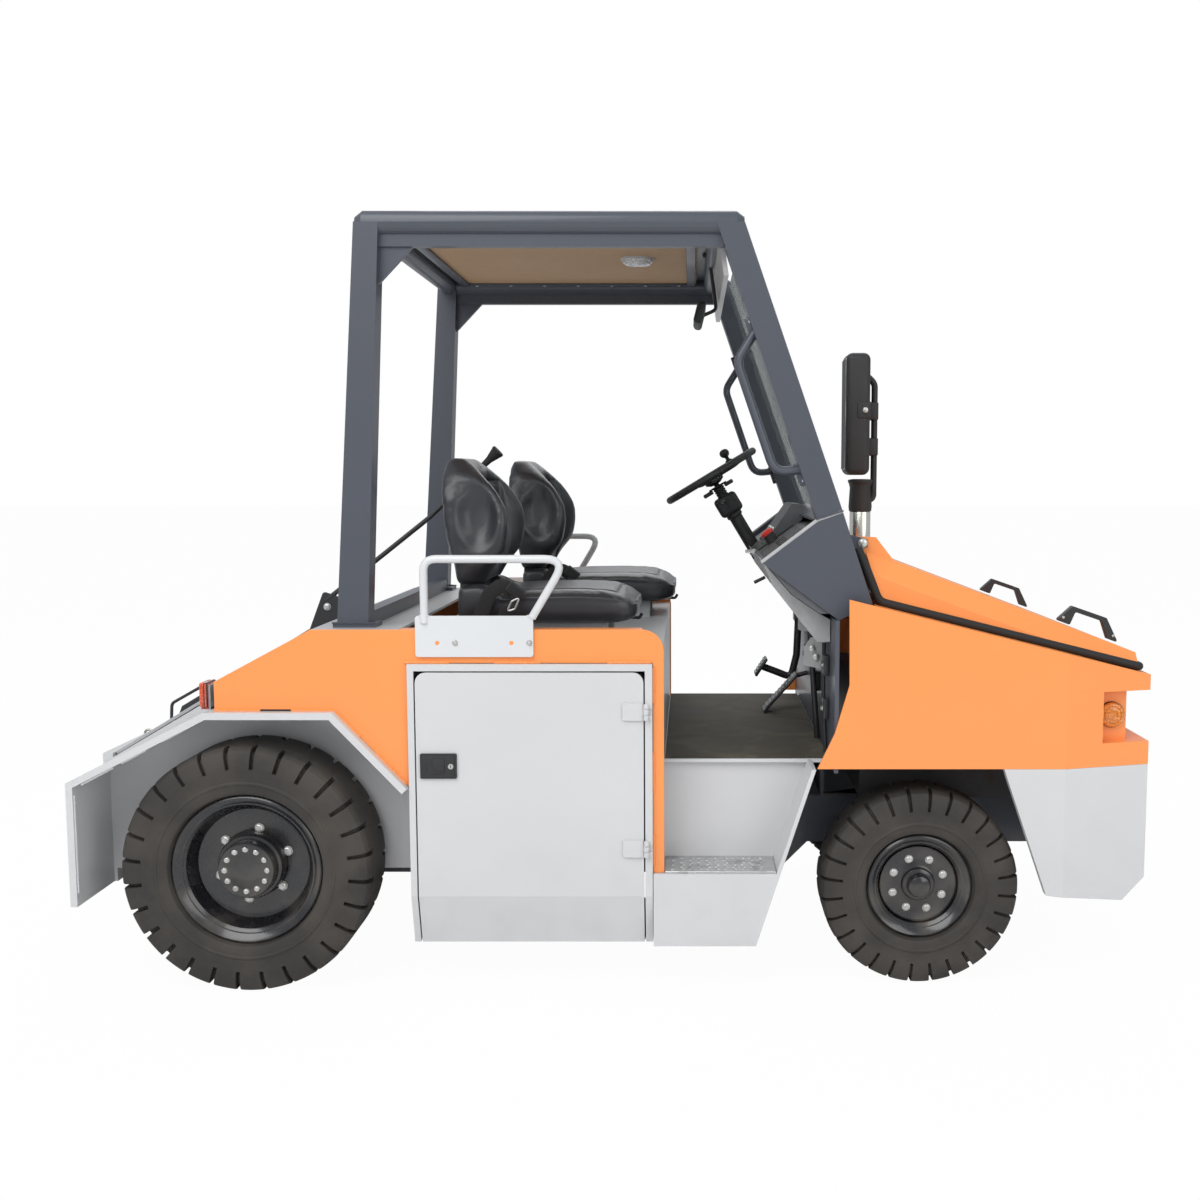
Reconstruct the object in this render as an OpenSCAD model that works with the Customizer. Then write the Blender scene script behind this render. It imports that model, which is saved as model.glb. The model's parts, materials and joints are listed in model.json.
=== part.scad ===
/* [Wheels] */
// Distance between the front and rear axles
wheelbase = 1950; // [1930:5:1980]
// Outside diameter of a rear tyre over its lugs
rear_tyre_od = 720; // [700:2:730]
// Width of a rear tyre
rear_tyre_w = 220; // [200:2:226]
// Outside diameter of a front tyre over its lugs
front_tyre_od = 580; // [560:2:586]
// Width of a front tyre
front_tyre_w = 170; // [150:2:174]
// Depth of the lug cuts
lug_cut = 16; // [8:1:20]
// Number of lugs round a tyre
lug_count = 28; // [20:1:32]

/* [Body] */
// Half width over the rear fenders
fender_y = 720; // [716:1:735]
// Half width over the orange side panels
side_y = 690; // [686:1:700]
// Thickness of the sheet panels
sheet = 8; // [5:1:10]
// Thickness of the fender plates
fender_t = 20; // [14:1:24]
// Height of the rear side panels' top edge
side_top = 1056; // [1040:1:1075]
// Height of the cab floor
floor_z = 655; // [648:1:660]
// Height of the step tread
step_z = 356; // [340:1:370]
// Lowest edge of the battery boxes and steps
skirt_z = 136; // [120:1:150]
// Opening angle of the hood's side chamfers, seen along the hood
hood_chamfer = 45; // [40:1:50]

/* [Cab] */
// Height of the roof rails' top
roof_top = 2230; // [2200:1:2260]
// Diameter of the roof rails
rail_d = 70; // [60:1:76]
// Half width over the cab posts
cab_y = 640; // [630:1:645]
// Diameter of the steering wheel
wheel_d = 370; // [340:2:390]
// Width of a seat
seat_w = 470; // [430:2:490]
// Half of the gap between the two seats
seat_part = 95; // [85:1:105]
// How far the driver's seat is slid forward
seat_slide = 105; // [0:5:110]
// Diameter of the armrest tube
arm_d = 23; // [18:1:28]

/* [Coupling] */
// Radius of the drawbar pin's bore
tow_bore_r = 20; // [14:0.5:24]
// How far the coupling reaches behind the rear plate
tow_reach = 133; // [120:1:150]

/* [Hidden] */
$fn = 48;

orange = "#f08a3c";
silver = "#c9cac6";
frame_grey = "#4a4f58";
black = "#232323";

// Axle stations, from which the rear and front halves are measured
rear_axle_x = -wheelbase / 2 - 15;
front_axle_x = rear_axle_x + wheelbase;
function R(x) = rear_axle_x + x;
function F(x) = front_axle_x + x;
rear_axle_z = rear_tyre_od / 2;
front_axle_z = front_tyre_od / 2;

// Clearances: a seat that is nearly face to face, and a running fit
seat_gap = 0.3;
run_fit = 0.05;

// Sideways place of each seat
seat_y = seat_part + seat_w / 2;

// Wheel places
fender_edge = 5;
rear_wheel_y = fender_y - fender_edge - rear_tyre_w / 2;
front_outer_y = side_y - 40;
front_wheel_y = front_outer_y - front_tyre_w / 2;
kingpin_y = front_wheel_y - 55;

// Bent plates: a polyline and its copy offset to the left by t
function unit(v) = v / norm(v);
function left_of(v) = [-v[1], v[0]];
function miter(a, b, c, t) =
    let (n = left_of(unit(b - a)), m = unit(n + left_of(unit(c - b))))
    b + m * t / (m * n);
function shifted(p, t) = [for (i = [0:len(p) - 1])
    i == 0 ? p[0] + left_of(unit(p[1] - p[0])) * t
    : i == len(p) - 1 ? p[i] + left_of(unit(p[i] - p[i - 1])) * t
    : miter(p[i - 1], p[i], p[i + 1], t)];
function reversed(p) = [for (i = [len(p) - 1:-1:0]) p[i]];
function band(p, t) = concat(p, reversed(shifted(p, t)));
function arc(c, r, a0, a1, n = 6) =
    [for (i = [0:n]) let (a = a0 + (a1 - a0) * i / n) c + r * [cos(a), sin(a)]];

// A side view outline in X and Z, from y0 to y1
module prism(points, y0, y1) {
    translate([0, y1, 0]) rotate([90, 0, 0]) linear_extrude(y1 - y0) polygon(points);
}
// A cross section outline in Y and Z, from x0 to x1
module prism_x(points, x0, x1) {
    translate([x0, 0, 0]) rotate([90, 0, 90]) linear_extrude(x1 - x0) polygon(points);
}
// A plan outline in X and Y, from z0 to z1
module plan(points, z0, z1) {
    translate([0, 0, z0]) linear_extrude(z1 - z0) polygon(points);
}
module box(a, b) { translate(a) cube(b - a); }
module both() {
    children();
    mirror([0, 1, 0]) children();
}
// A bar bent in the plane of a side view, at y, through points in X and Z
bend_steps = 4;
function turn_at(p, i) =
    let (u = unit(p[i] - p[i - 1]), v = unit(p[i + 1] - p[i])) atan2(cross(u, v), u * v);
function bend_at(p, i, bend) =
    let (u = unit(p[i] - p[i - 1]), turn = turn_at(p, i), side = left_of(u) * sign(turn),
        centre = p[i] - u * bend * tan(abs(turn) / 2) + side * bend, a0 = atan2(-side[1], -side[0]))
    arc(centre, bend, a0, a0 + turn, bend_steps);
function bent(p, bend) =
    concat([p[0]], [for (i = [1:len(p) - 2]) each bend_at(p, i, bend)], [p[len(p) - 1]]);
module bent_bar(points, y, r, bend) {
    line = bent(points, bend);
    prism(concat(shifted(line, -r), reversed(shifted(line, r))), y - r, y + r);
}
module along_y(x, z, y0, y1, r) {
    translate([x, y1, z]) rotate([90, 0, 0]) cylinder(h = y1 - y0, r = r);
}

// Chassis
rail_in = 270;
rail_out = 300;
rail_low = rear_axle_z - 130;
rail_top = rear_axle_z + 120;
rail_front_low = front_axle_z + 40;
rear_plate_x = R(-499);
rear_plate_t = 30;
rear_plate_low = 258;
bumper_front = F(662);
bumper_t = 30;
axle_tube_r = 70;
cross_w = 30;
cross_x = [R(-469), R(480), R(1140), F(-320), F(600)];

module chassis_frame() {
    rail = [[rear_plate_x + rear_plate_t, rail_low], [F(-400), rail_low], [F(-300), rail_front_low],
        [bumper_front - bumper_t, rail_front_low], [bumper_front - bumper_t, rail_top],
        [rear_plate_x + rear_plate_t, rail_top]];
    color(frame_grey) {
        both() difference() {
            prism(rail, rail_in, rail_out);
            along_y(rear_axle_x, rear_axle_z, rail_in - 1, rail_out + 1, axle_tube_r + seat_gap);
        }
        for (x = cross_x)
            box([x, -rail_in - 1, rail_front_low + 10], [x + cross_w, rail_in + 1, rail_top - 20]);
    }
}

// Rear body: thick fender plates, the wheel wells' inner walls and the rear plate
well_y = 480;
well_t = 20;
fender_top = rear_tyre_od + 102;
deck_low = [R(-469), fender_top - 167];
deck_rise = [R(201), side_top];
fender_line = [[rear_plate_x, rear_plate_low], [rear_plate_x, fender_top - 203], [R(-101), fender_top],
    [R(263), fender_top], [R(472), fender_top - 220]];
panel_x0 = R(-78);
wall_low = 300;

module rear_body() {
    inner = shifted(fender_line, -fender_t);
    wall = [[inner[0][0], wall_low], inner[1], [rear_plate_x + rear_plate_t, deck_low[1] - 13],
        [panel_x0, deck_z(panel_x0) - 17], [panel_x0, inner[2][1]],
        inner[3], inner[4], [inner[4][0], wall_low]];
    color(silver) {
        both() {
            prism(band(fender_line, -fender_t), well_y - 1, fender_y);
            difference() {
                prism(wall, well_y - well_t, well_y);
                along_y(rear_axle_x, rear_axle_z, 0, fender_y, axle_tube_r + 10);
            }
        }
        box([rear_plate_x, -well_y, rear_plate_low], [rear_plate_x + rear_plate_t, well_y, deck_low[1]]);
    }
}

// Orange rear side panels with their top flange and the strip before the step
box_x0 = R(475);
box_x1 = R(1170);
box_top = 959;
strip_x = R(1203);
corner_r = 62;
flange_w = 50;

module rear_side_panels() {
    outline = concat(
        [[panel_x0, fender_top], [panel_x0, deck_z(panel_x0) + 17], deck_rise],
        reversed(arc([strip_x - corner_r, side_top - corner_r], corner_r, 0, 90)),
        [[strip_x, step_z - tread_t], [box_x1 + 1, step_z - tread_t], [box_x1 + 1, box_top + 1],
        [box_x0 - 2, box_top + 1],
        fender_line[4], fender_line[3]]);
    color(orange) both() {
        prism(outline, side_y - sheet, side_y);
        box([deck_flat_x + 1, side_y - flange_w, side_top - sheet],
            [strip_x - corner_r, side_y - sheet + 0.5, side_top]);
    }
}

// Sloped rear deck, wider where the side panels close it
deck_t = 10;
deck_flat_x = R(450);

module rear_deck() {
    line = [deck_low, deck_rise, [deck_flat_x, side_top]];
    color("#b9bbb8") {
        prism(band(line, -deck_t), -well_y + well_t, well_y - well_t);
        intersection() {
            prism(band(line, -deck_t), -side_y + sheet, side_y - sheet);
            box([R(-70), -side_y, 600], [deck_flat_x, side_y, side_top + 10]);
        }
    }
}
// Height of the deck's top surface at x on its slope
deck_slope = (deck_rise[1] - deck_low[1]) / (deck_rise[0] - deck_low[0]);
function deck_z(x) = deck_low[1] + (x - deck_low[0]) * deck_slope;

grab_r = 5;
module rear_grab_handle() {
    feet = [R(-402), R(-252)];
    lift = 52;
    color(black) difference() {
        bent_bar([[feet[0], deck_z(feet[0]) - 20], [feet[0] + 15, deck_z(feet[0]) + lift],
            [feet[1] - 25, deck_z(feet[1] - 25) + lift], [feet[1], deck_z(feet[1]) - 20]],
            -200, grab_r, 16);
        prism([deck_low - [100, 100], deck_low, deck_rise, deck_rise + [0, -400]], -300, -100);
    }
}

// Rear coupling: two jaw plates on cheeks, with the drop pin drawn up
tow_x = rear_plate_x - 75;
jaw_z = [300, 385];
jaw_t = 24;
jaw_half = 85;
pin_len = 150;
tow_pin_r = tow_bore_r - 1.5;
module tow_coupling() {
    end = rear_plate_x - tow_reach;
    color(frame_grey) {
        difference() {
            union() {
                for (z = jaw_z) box([end, -jaw_half, z], [rear_plate_x - 18, jaw_half, z + jaw_t]);
                box([rear_plate_x - 20, -jaw_half - 30, jaw_z[0] - 30],
                    [rear_plate_x, jaw_half + 30, jaw_z[1] + 190]);
                box([tow_x - 45, -40, jaw_z[1] + 110], [rear_plate_x - 18, 40, jaw_z[1] + 134]);
            }
            translate([tow_x, 0, jaw_z[0] - 50]) cylinder(h = jaw_z[1] - jaw_z[0] + 100, r = tow_bore_r);
            translate([tow_x, 0, jaw_z[1] + 60]) cylinder(h = 100, r = tow_pin_r + run_fit);
        }
        translate([tow_x, 0, jaw_z[1] + jaw_t + 12]) {
            cylinder(h = pin_len, r = tow_pin_r);
            translate([0, 0, pin_len]) cylinder(h = 14, r = tow_pin_r + 9);
        }
    }
}

// Release lever: a strip down the deck, a pivot plate and a bent rod with a knob by the seats
lever_y = -60;
lever_r = 8;
module release_lever() {
    strip = [[R(-440), deck_z(R(-440))], [R(60), deck_z(R(60))]];
    pivot = [R(68), 1077];
    elbow = [R(422), 1356];
    knob = [R(628), 1552];
    color(black) {
        prism(band(strip, 38), lever_y - 6, lever_y + 6);
        prism([[R(10), deck_z(R(10)) + 30], [R(60), deck_z(R(60))], [R(120), deck_z(R(120))],
            [R(110), 1090], [R(60), 1105]], lever_y - 6, lever_y + 6);
        bent_bar([pivot, elbow, knob], lever_y, lever_r, 60);
        translate([knob[0], lever_y, knob[1]]) rotate([0, atan2(knob[0] - elbow[0], knob[1] - elbow[1]), 0])
            translate([0, 0, -40]) cylinder(h = 70, r1 = lever_r + 3, r2 = 23);
    }
}

// Tail lamps on brackets that stand on the fenders
module tail_lamps() {
    color("#d8542a") both() {
        translate([0, 0, fender_top]) {
            box([R(-128), side_y - 90, 7], [R(-104), side_y - 20, 78]);
            box([R(-104), side_y - 80, 0], [R(-98), side_y - 30, 68]);
            box([R(-125), side_y - 80, 0], [R(-98), side_y - 30, 7]);
        }
    }
}

// Battery boxes and their doors share one bent front line
face_y = side_y + 14;
face_t = 12;
bend_z = 285;
bend_in = 40;
door_gap = 4;
door_x0 = R(497);
door_x1 = R(1145);
door_top = 935;
door_r = 30;
wall_t = 10;
face_line = [[face_y - bend_in, skirt_z], [face_y, bend_z], [face_y, box_top]];
hinge_x = R(1153);
hinge_y = face_y + 9;
hinge_r = 8;
pin_r = 3;
hinge_z = [426, 823];
hinge_h = 48;

module side_boxes() {
    inner = shifted(face_line, face_t);
    section = concat([[rail_out, skirt_z]], inner, [[rail_out, box_top]]);
    cavity = [[rail_out - 1, skirt_z + wall_t], [inner[0][0] + 40, skirt_z + wall_t],
        [inner[1][0] + 40, bend_z], [inner[1][0] + 40, box_top - wall_t], [rail_out - 1, box_top - wall_t]];
    color(silver) both() {
        difference() {
            prism_x(section, box_x0, box_x1);
            prism_x(cavity, box_x0 + wall_t, box_x1 - wall_t);
        }
        difference() {
            prism_x(band(face_line, face_t), box_x0, box_x1);
            box([door_x0 - door_gap, 0, skirt_z - 10],
                [door_x1 + door_gap, 2 * side_y, door_top + door_gap]);
        }
        for (z = hinge_z) {
            translate([hinge_x, hinge_y, z - hinge_h / 2]) cylinder(h = hinge_h, r = pin_r);
            for (s = [-1, 1]) translate([0, 0, z + s * hinge_h / 3]) {
                translate([hinge_x, hinge_y, -hinge_h / 6 + 1]) cylinder(h = hinge_h / 3 - 2, r = hinge_r);
                box([hinge_x, face_y - 1, -hinge_h / 6 + 1], [box_x1, face_y + 5, hinge_h / 6 - 1]);
            }
        }
    }
}
module battery_pack() {
    half = face_y - 104;
    color(frame_grey)
        box([box_x0 + wall_t + 5, -half, rail_top], [box_x1 - wall_t - 5, half, box_top - wall_t - 19]);
}
// Door on the left side; the right one is its mirror image
module door_form() {
    outline = concat([[door_x0, skirt_z], [door_x1, skirt_z]],
        arc([door_x1 - door_r, door_top - door_r], door_r, 0, 90),
        arc([door_x0 + door_r, door_top - door_r], door_r, 90, 180));
    intersection() {
        prism_x(band(face_line, face_t), door_x0, door_x1);
        prism(outline, 0, 2 * side_y);
    }
    for (z = hinge_z) difference() {
        union() {
            translate([hinge_x, hinge_y, z - hinge_h / 6]) cylinder(h = hinge_h / 3, r = hinge_r);
            box([door_x1 - 45, face_y - 1, z - hinge_h / 6], [door_x1, face_y + 5, z + hinge_h / 6]);
            box([door_x1 - 1, face_y + 1, z - hinge_h / 6], [hinge_x, face_y + 5, z + hinge_h / 6]);
        }
        translate([hinge_x, hinge_y, z - hinge_h]) cylinder(h = 2 * hinge_h, r = pin_r + run_fit);
    }
}
module battery_door_right() { color(silver) mirror([0, 1, 0]) door_form(); }
module battery_door_left() { color(silver) door_form(); }
latch_z = 667;
module latch_form() {
    box([door_x0 + 12, face_y, latch_z - 36], [door_x0 + 116, face_y + 9, latch_z + 36]);
    along_y(door_x0 + 92, latch_z, face_y, face_y + 16, 11);
}
module door_latch_right() { color(black) mirror([0, 1, 0]) latch_form(); }
module door_latch_left() { color(black) latch_form(); }

// Steps: skirt, slanted front plate, riser and shelf on brackets from the frame rails
riser_y = 530;
riser_t = 11;
shelf_t = 12;
tread_t = 6;
step_x0 = box_x1 + 2;
slant_low = [F(-494), skirt_z];
slant_top = [F(-325), floor_z - 1];
slant_t = 12;
floor_t = 11;
function slant_x(z) =
    slant_low[0] + (slant_top[0] - slant_low[0]) * (z - skirt_z) / (slant_top[1] - skirt_z);
function slant_plate(z0, z1) = [[slant_x(z0), z0], [slant_x(z1), z1], [slant_x(z1) + slant_t, z1],
    [slant_x(z0) + slant_t, z0]];

module steps() {
    shelf_z = step_z - tread_t;
    color(silver) both() {
        prism([[step_x0, skirt_z], slant_low, [slant_x(shelf_z), shelf_z], [step_x0, shelf_z]],
            side_y + 1, face_y - 2);
        prism(slant_plate(skirt_z, floor_z - floor_t), riser_y, face_y - 2);
        prism(slant_plate(floor_z - floor_t - 1, floor_z - 1), riser_y + 30 + seat_gap, face_y - 2);
        prism([[step_x0, shelf_z - shelf_t], [slant_x(shelf_z - shelf_t) + 1, shelf_z - shelf_t],
            [slant_x(shelf_z) + 1, shelf_z], [step_x0, shelf_z]], riser_y, side_y + 2);
        prism([[step_x0, shelf_z - shelf_t], [slant_x(shelf_z - shelf_t) + 1, shelf_z - shelf_t],
            [slant_x(floor_z - floor_t) + 1, floor_z - floor_t], [step_x0, floor_z - floor_t]],
            riser_y, riser_y + riser_t);
        for (x = [step_x0, F(-470)]) box([x, rail_out, shelf_z - 40], [x + 12, riser_y + 1, shelf_z]);
    }
}
module step_treads() {
    color("silver") both()
        prism([[strip_x + 2, step_z - tread_t], [slant_x(step_z - tread_t) - 2, step_z - tread_t],
            [slant_x(step_z) - 2, step_z], [strip_x + 2, step_z]], riser_y + riser_t, face_y - 4);
}

// Cab floor and its mat
floor_x0 = R(1199);
bulkhead_x = F(-260);
mat_t = 8;
module floor_deck() {
    color(silver) box([floor_x0, -riser_y - 30, floor_z - floor_t], [bulkhead_x, riser_y + 30, floor_z]);
}
module floor_mat() {
    color("#4b4537")
        box([floor_x0 + 5, -riser_y - 20, floor_z], [bulkhead_x - 5, riser_y + 20, floor_z + mat_t]);
}

// Front body: a plan ring cut to the side view, with a lamp recess across the front
fold_x = F(403);
front_y = side_y - 70;
front_low = 654;
brow_z = 917;
nose_top = [[F(-222), 1141], [F(403), 985], [bumper_front, brow_z]];
recess_z = [722, 872];
recess_x = F(515);
lamp_x = F(600);
ledge_drop = 1;
function nose_plan(inset) = [[F(-400), side_y - inset], [fold_x - inset / 8, side_y - inset],
    [bumper_front - inset, front_y - inset * 0.87], [bumper_front - inset, -front_y + inset * 0.87],
    [fold_x - inset / 8, -side_y + inset], [F(-400), -side_y + inset]];
module nose_ring(thick, z0, z1) {
    difference() {
        plan(nose_plan(0), z0, z1);
        plan([for (p = nose_plan(thick)) [p[0] <= F(-400) ? p[0] - 10 : p[0], p[1]]], z0 - 1, z1 + 1);
    }
}
module front_body() {
    side = concat([[F(-308), front_low], [F(-260), 755], [F(-219), 896]], nose_top,
        [[bumper_front, front_low]]);
    color(orange) {
        difference() {
            intersection() {
                prism(side, -side_y, side_y);
                nose_ring(sheet, front_low, 1200);
            }
            box([recess_x, -side_y - 1, recess_z[0]], [bumper_front + 1, side_y + 1, recess_z[1]]);
        }
        // Ledge under the hood's seal
        intersection() {
            prism(band([for (p = [[F(-140), nose_z(F(-140))], nose_top[1], nose_top[2]])
                p - [0, ledge_drop]], -sheet), -side_y, side_y);
            difference() {
                plan(nose_plan(sheet / 2), 800, 1200);
                plan(nose_plan(flange_w + 44), 799, 1201);
            }
        }
        // Lamp recess
        difference() {
            intersection() {
                box([recess_x - sheet, -side_y, recess_z[0] - sheet],
                    [bumper_front, side_y, recess_z[1] + sheet]);
                plan(nose_plan(sheet / 2), 600, 1000);
            }
            box([lamp_x, -side_y, recess_z[0]], [bumper_front + 1, side_y, recess_z[1]]);
            for (s = [0, 1]) mirror([0, s, 0])
                box([recess_x, front_y - 20, recess_z[0]], [bumper_front + 1, side_y, recess_z[1]]);
            box([recess_x - 20, -front_y + 30, recess_z[0] - 20],
                [lamp_x - sheet, front_y - 30, recess_z[1] + 20]);
        }
    }
}
lamp_z = (recess_z[0] + recess_z[1]) / 2;
module headlamps() {
    color("white") both() translate([lamp_x, 430, lamp_z]) rotate([0, 90, 0]) {
        cylinder(h = 14, r = 66);
        translate([0, 0, 14]) cylinder(h = 16, r1 = 60, r2 = 44);
    }
}
turn_r = 38;
turn_x = recess_x + turn_r + 3;
module turn_lamps() {
    color("#e8912a") both() {
        along_y(turn_x, lamp_z, front_y - 20, front_y - 6, turn_r);
        along_y(turn_x, lamp_z, front_y - 6, front_y, turn_r - 8);
    }
}
module front_bumper() {
    side = [[F(226), front_low], [F(355), 282], [F(592), 252], [bumper_front, 316],
        [bumper_front, front_low]];
    color(silver) intersection() {
        prism(side, -side_y, side_y);
        nose_ring(bumper_t, 200, front_low);
    }
}

// Hood: a hollow lid with chamfered sides on a seal, hinged at its rear
hood_y = 600;
crease_y = 540;
hood_rear_top = [F(-160), 1275];
hood_front_top = [F(625), 985];
hood_nose_z = 972;
hood_slope = atan2(hood_rear_top[1] - hood_front_top[1], hood_front_top[0] - hood_rear_top[0]);
seal_rise = 19;
nose_slope = (nose_top[1][1] - nose_top[0][1]) / (nose_top[1][0] - nose_top[0][0]);
function nose_z(x) = nose_top[0][1] + nose_slope * (x - nose_top[0][0]);
hood_x1 = F(640);
hood_rear_low = [F(-129), nose_z(F(-129)) + seal_rise];
hood_front_low = [hood_x1, nose_z(hood_x1) + seal_rise];
hood_axis = [F(-169), 1295];
ear_y = [536, 546];
hood_pin_r = 8;

module hood_form(inset, drop) {
    difference() {
        translate([0, 0, -drop])
            prism([hood_rear_top, hood_rear_low, hood_front_low, [hood_x1, hood_nose_z]],
            -hood_y + inset, hood_y - inset);
        for (s = [0, 1]) mirror([0, s, 0])
            translate([hood_rear_top[0], crease_y, hood_rear_top[1] - drop]) rotate([0, hood_slope, 0])
            rotate([-hood_chamfer, 0, 0]) translate([-200, 0, 0]) cube([1300, 300, 300]);
        if (drop > 0) {
            box([0, -hood_y, 800], [hood_rear_top[0] + 35 + sheet, hood_y, 1400]);
            box([hood_x1 - sheet, -hood_y, 800], [hood_x1 + 100, hood_y, 1400]);
        }
    }
}
module hood() {
    color(orange) {
        difference() {
            hood_form(0, 0);
            hood_form(sheet, sheet);
        }
        both() difference() {
            prism([hood_axis + [-16, 6], hood_axis + [-16, -14], hood_rear_top + [4, -25],
                hood_rear_top + [90, -40], hood_axis + [40, 16], hood_axis + [-4, 18]], ear_y[0], ear_y[1]);
            along_y(hood_axis[0], hood_axis[1], 0, 700, hood_pin_r + run_fit);
        }
    }
}
seal_t = 22;
module hood_seal() {
    low = 1;
    color(black) difference() {
        prism([hood_rear_low, hood_rear_low + [0, low - seal_rise], hood_front_low + [0, low - seal_rise],
            hood_front_low], -hood_y, hood_y);
        box([hood_rear_low[0] + seal_t, -hood_y + seal_t, 800], [hood_x1 - seal_t, hood_y - seal_t, 1300]);
    }
}
handle_x = [F(414), F(597)];
module hood_handles() {
    function top_z(x) = hood_rear_top[1] - (x - hood_rear_top[0]) * tan(hood_slope);
    lift = 62;
    line = [[handle_x[0], top_z(handle_x[0])], [handle_x[0] + 40, top_z(handle_x[0] + 40) + lift],
        [handle_x[1] - 40, top_z(handle_x[1] - 40) + lift], [handle_x[1], top_z(handle_x[1])]];
    color(black) both() difference() {
        prism(band(line, -22), crease_y - 45, crease_y - 17);
        prism([hood_rear_top, hood_front_top, [F(700), 800], [F(-160), 800]], 400, 600);
    }
}
module control_unit() {
    color(frame_grey) box([F(-140), -rail_out - 30, rail_top], [F(380), rail_out + 30, 850]);
}

// Cowl: side cheeks, top and front plates, bulkhead and the hood's hinge brackets
cowl_pts = [[F(-469), 1243], [F(-310), 1364], [F(-238), 1389], [F(-149), 1122], [F(-246), 1076]];
module cowl() {
    color(frame_grey) {
        both() prism(cowl_pts, cab_y - sheet, cab_y);
        prism(band([cowl_pts[1], cowl_pts[2], cowl_pts[3], cowl_pts[4]], -sheet),
            -cab_y + sheet - 1, cab_y - sheet + 1);
        prism_x([[-side_y + sheet, floor_z - 15], [-rail_out, floor_z - 15], [-rail_out, rail_top],
            [rail_out, rail_top], [rail_out, floor_z - 15], [side_y - sheet, floor_z - 15],
            [side_y - sheet, 1080], [-side_y + sheet, 1080]], bulkhead_x, bulkhead_x + 12);
        both() {
            for (y = [ear_y[0] - 12, ear_y[1] + 4])
                prism([hood_axis + [14, 10], hood_axis + [14, -12], hood_axis + [-26, -26],
                    hood_axis + [-46, 26]], y, y + 8);
            along_y(hood_axis[0], hood_axis[1], ear_y[0] - 12, ear_y[1] + 12, hood_pin_r);
        }
    }
}

// Steering: the wheel's plane rises forward and its column runs down into the dashboard
wheel_c = [F(-597), seat_y, 1490];
wheel_tilt = 31;
column_r = 24;
shaft_r = 9;
module on_column() { translate(wheel_c) rotate([0, -wheel_tilt, 0]) children(); }
module dashboard() {
    outline = [[F(-455), 1235], [F(-320), 1335], [F(-262), 1345], [F(-248), 1095], [F(-300), 1095],
        [F(-380), 1150]];
    color("#8f9397") difference() {
        prism(outline, -cab_y + sheet, cab_y - sheet);
        on_column() translate([0, 0, -600]) cylinder(h = 700, r = column_r + seat_gap);
    }
    color("red") translate([F(-400), -120, 1274]) rotate([0, -37, 0]) cylinder(h = 22, r = 18);
}
module steering_column() {
    color(black) on_column() difference() {
        union() {
            translate([0, 0, -330]) cylinder(h = 262, r = column_r);
            translate([-40, -38, -150]) cube([80, 76, 70]);
            translate([0, 60, -105]) rotate([90, 0, 0]) cylinder(h = 200, r = 6);
        }
        translate([0, 0, -120]) cylinder(h = 100, r = shaft_r + run_fit);
    }
}
module steering_wheel() {
    rim_r = 13;
    big = wheel_d / 2 - rim_r;
    color(black) on_column() {
        rotate_extrude() translate([big, 0]) circle(rim_r);
        translate([0, 0, -30]) cylinder(h = 36, r = 36);
        translate([0, 0, -110]) cylinder(h = 90, r = shaft_r);
        for (a = [0, 120, 240]) rotate([0, 0, a]) translate([20, -14, -14]) cube([big - 20, 28, 9]);
        rotate([0, 0, 60]) translate([big, 0, rim_r - 2]) cylinder(h = 40, r = 17);
    }
}
module pedals() {
    top = floor_z + mat_t;
    color(black) {
        // Brake pad on its bent arm
        prism([[F(-440), 772], [F(-427), 764], [F(-390), 822], [F(-403), 830]], seat_y - 20, seat_y + 60);
        bent_bar([[F(-418), 800], [F(-360), 779], [F(-300), 752], [F(-284), 800], [F(-284), 990],
            [bulkhead_x, 990]], seat_y + 20, 8, 16);
        // Accelerator plate
        prism(band([[F(-415), top], [F(-290), 806], [bulkhead_x, 806]], 10), seat_y - 190, seat_y - 110);
    }
}

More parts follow.
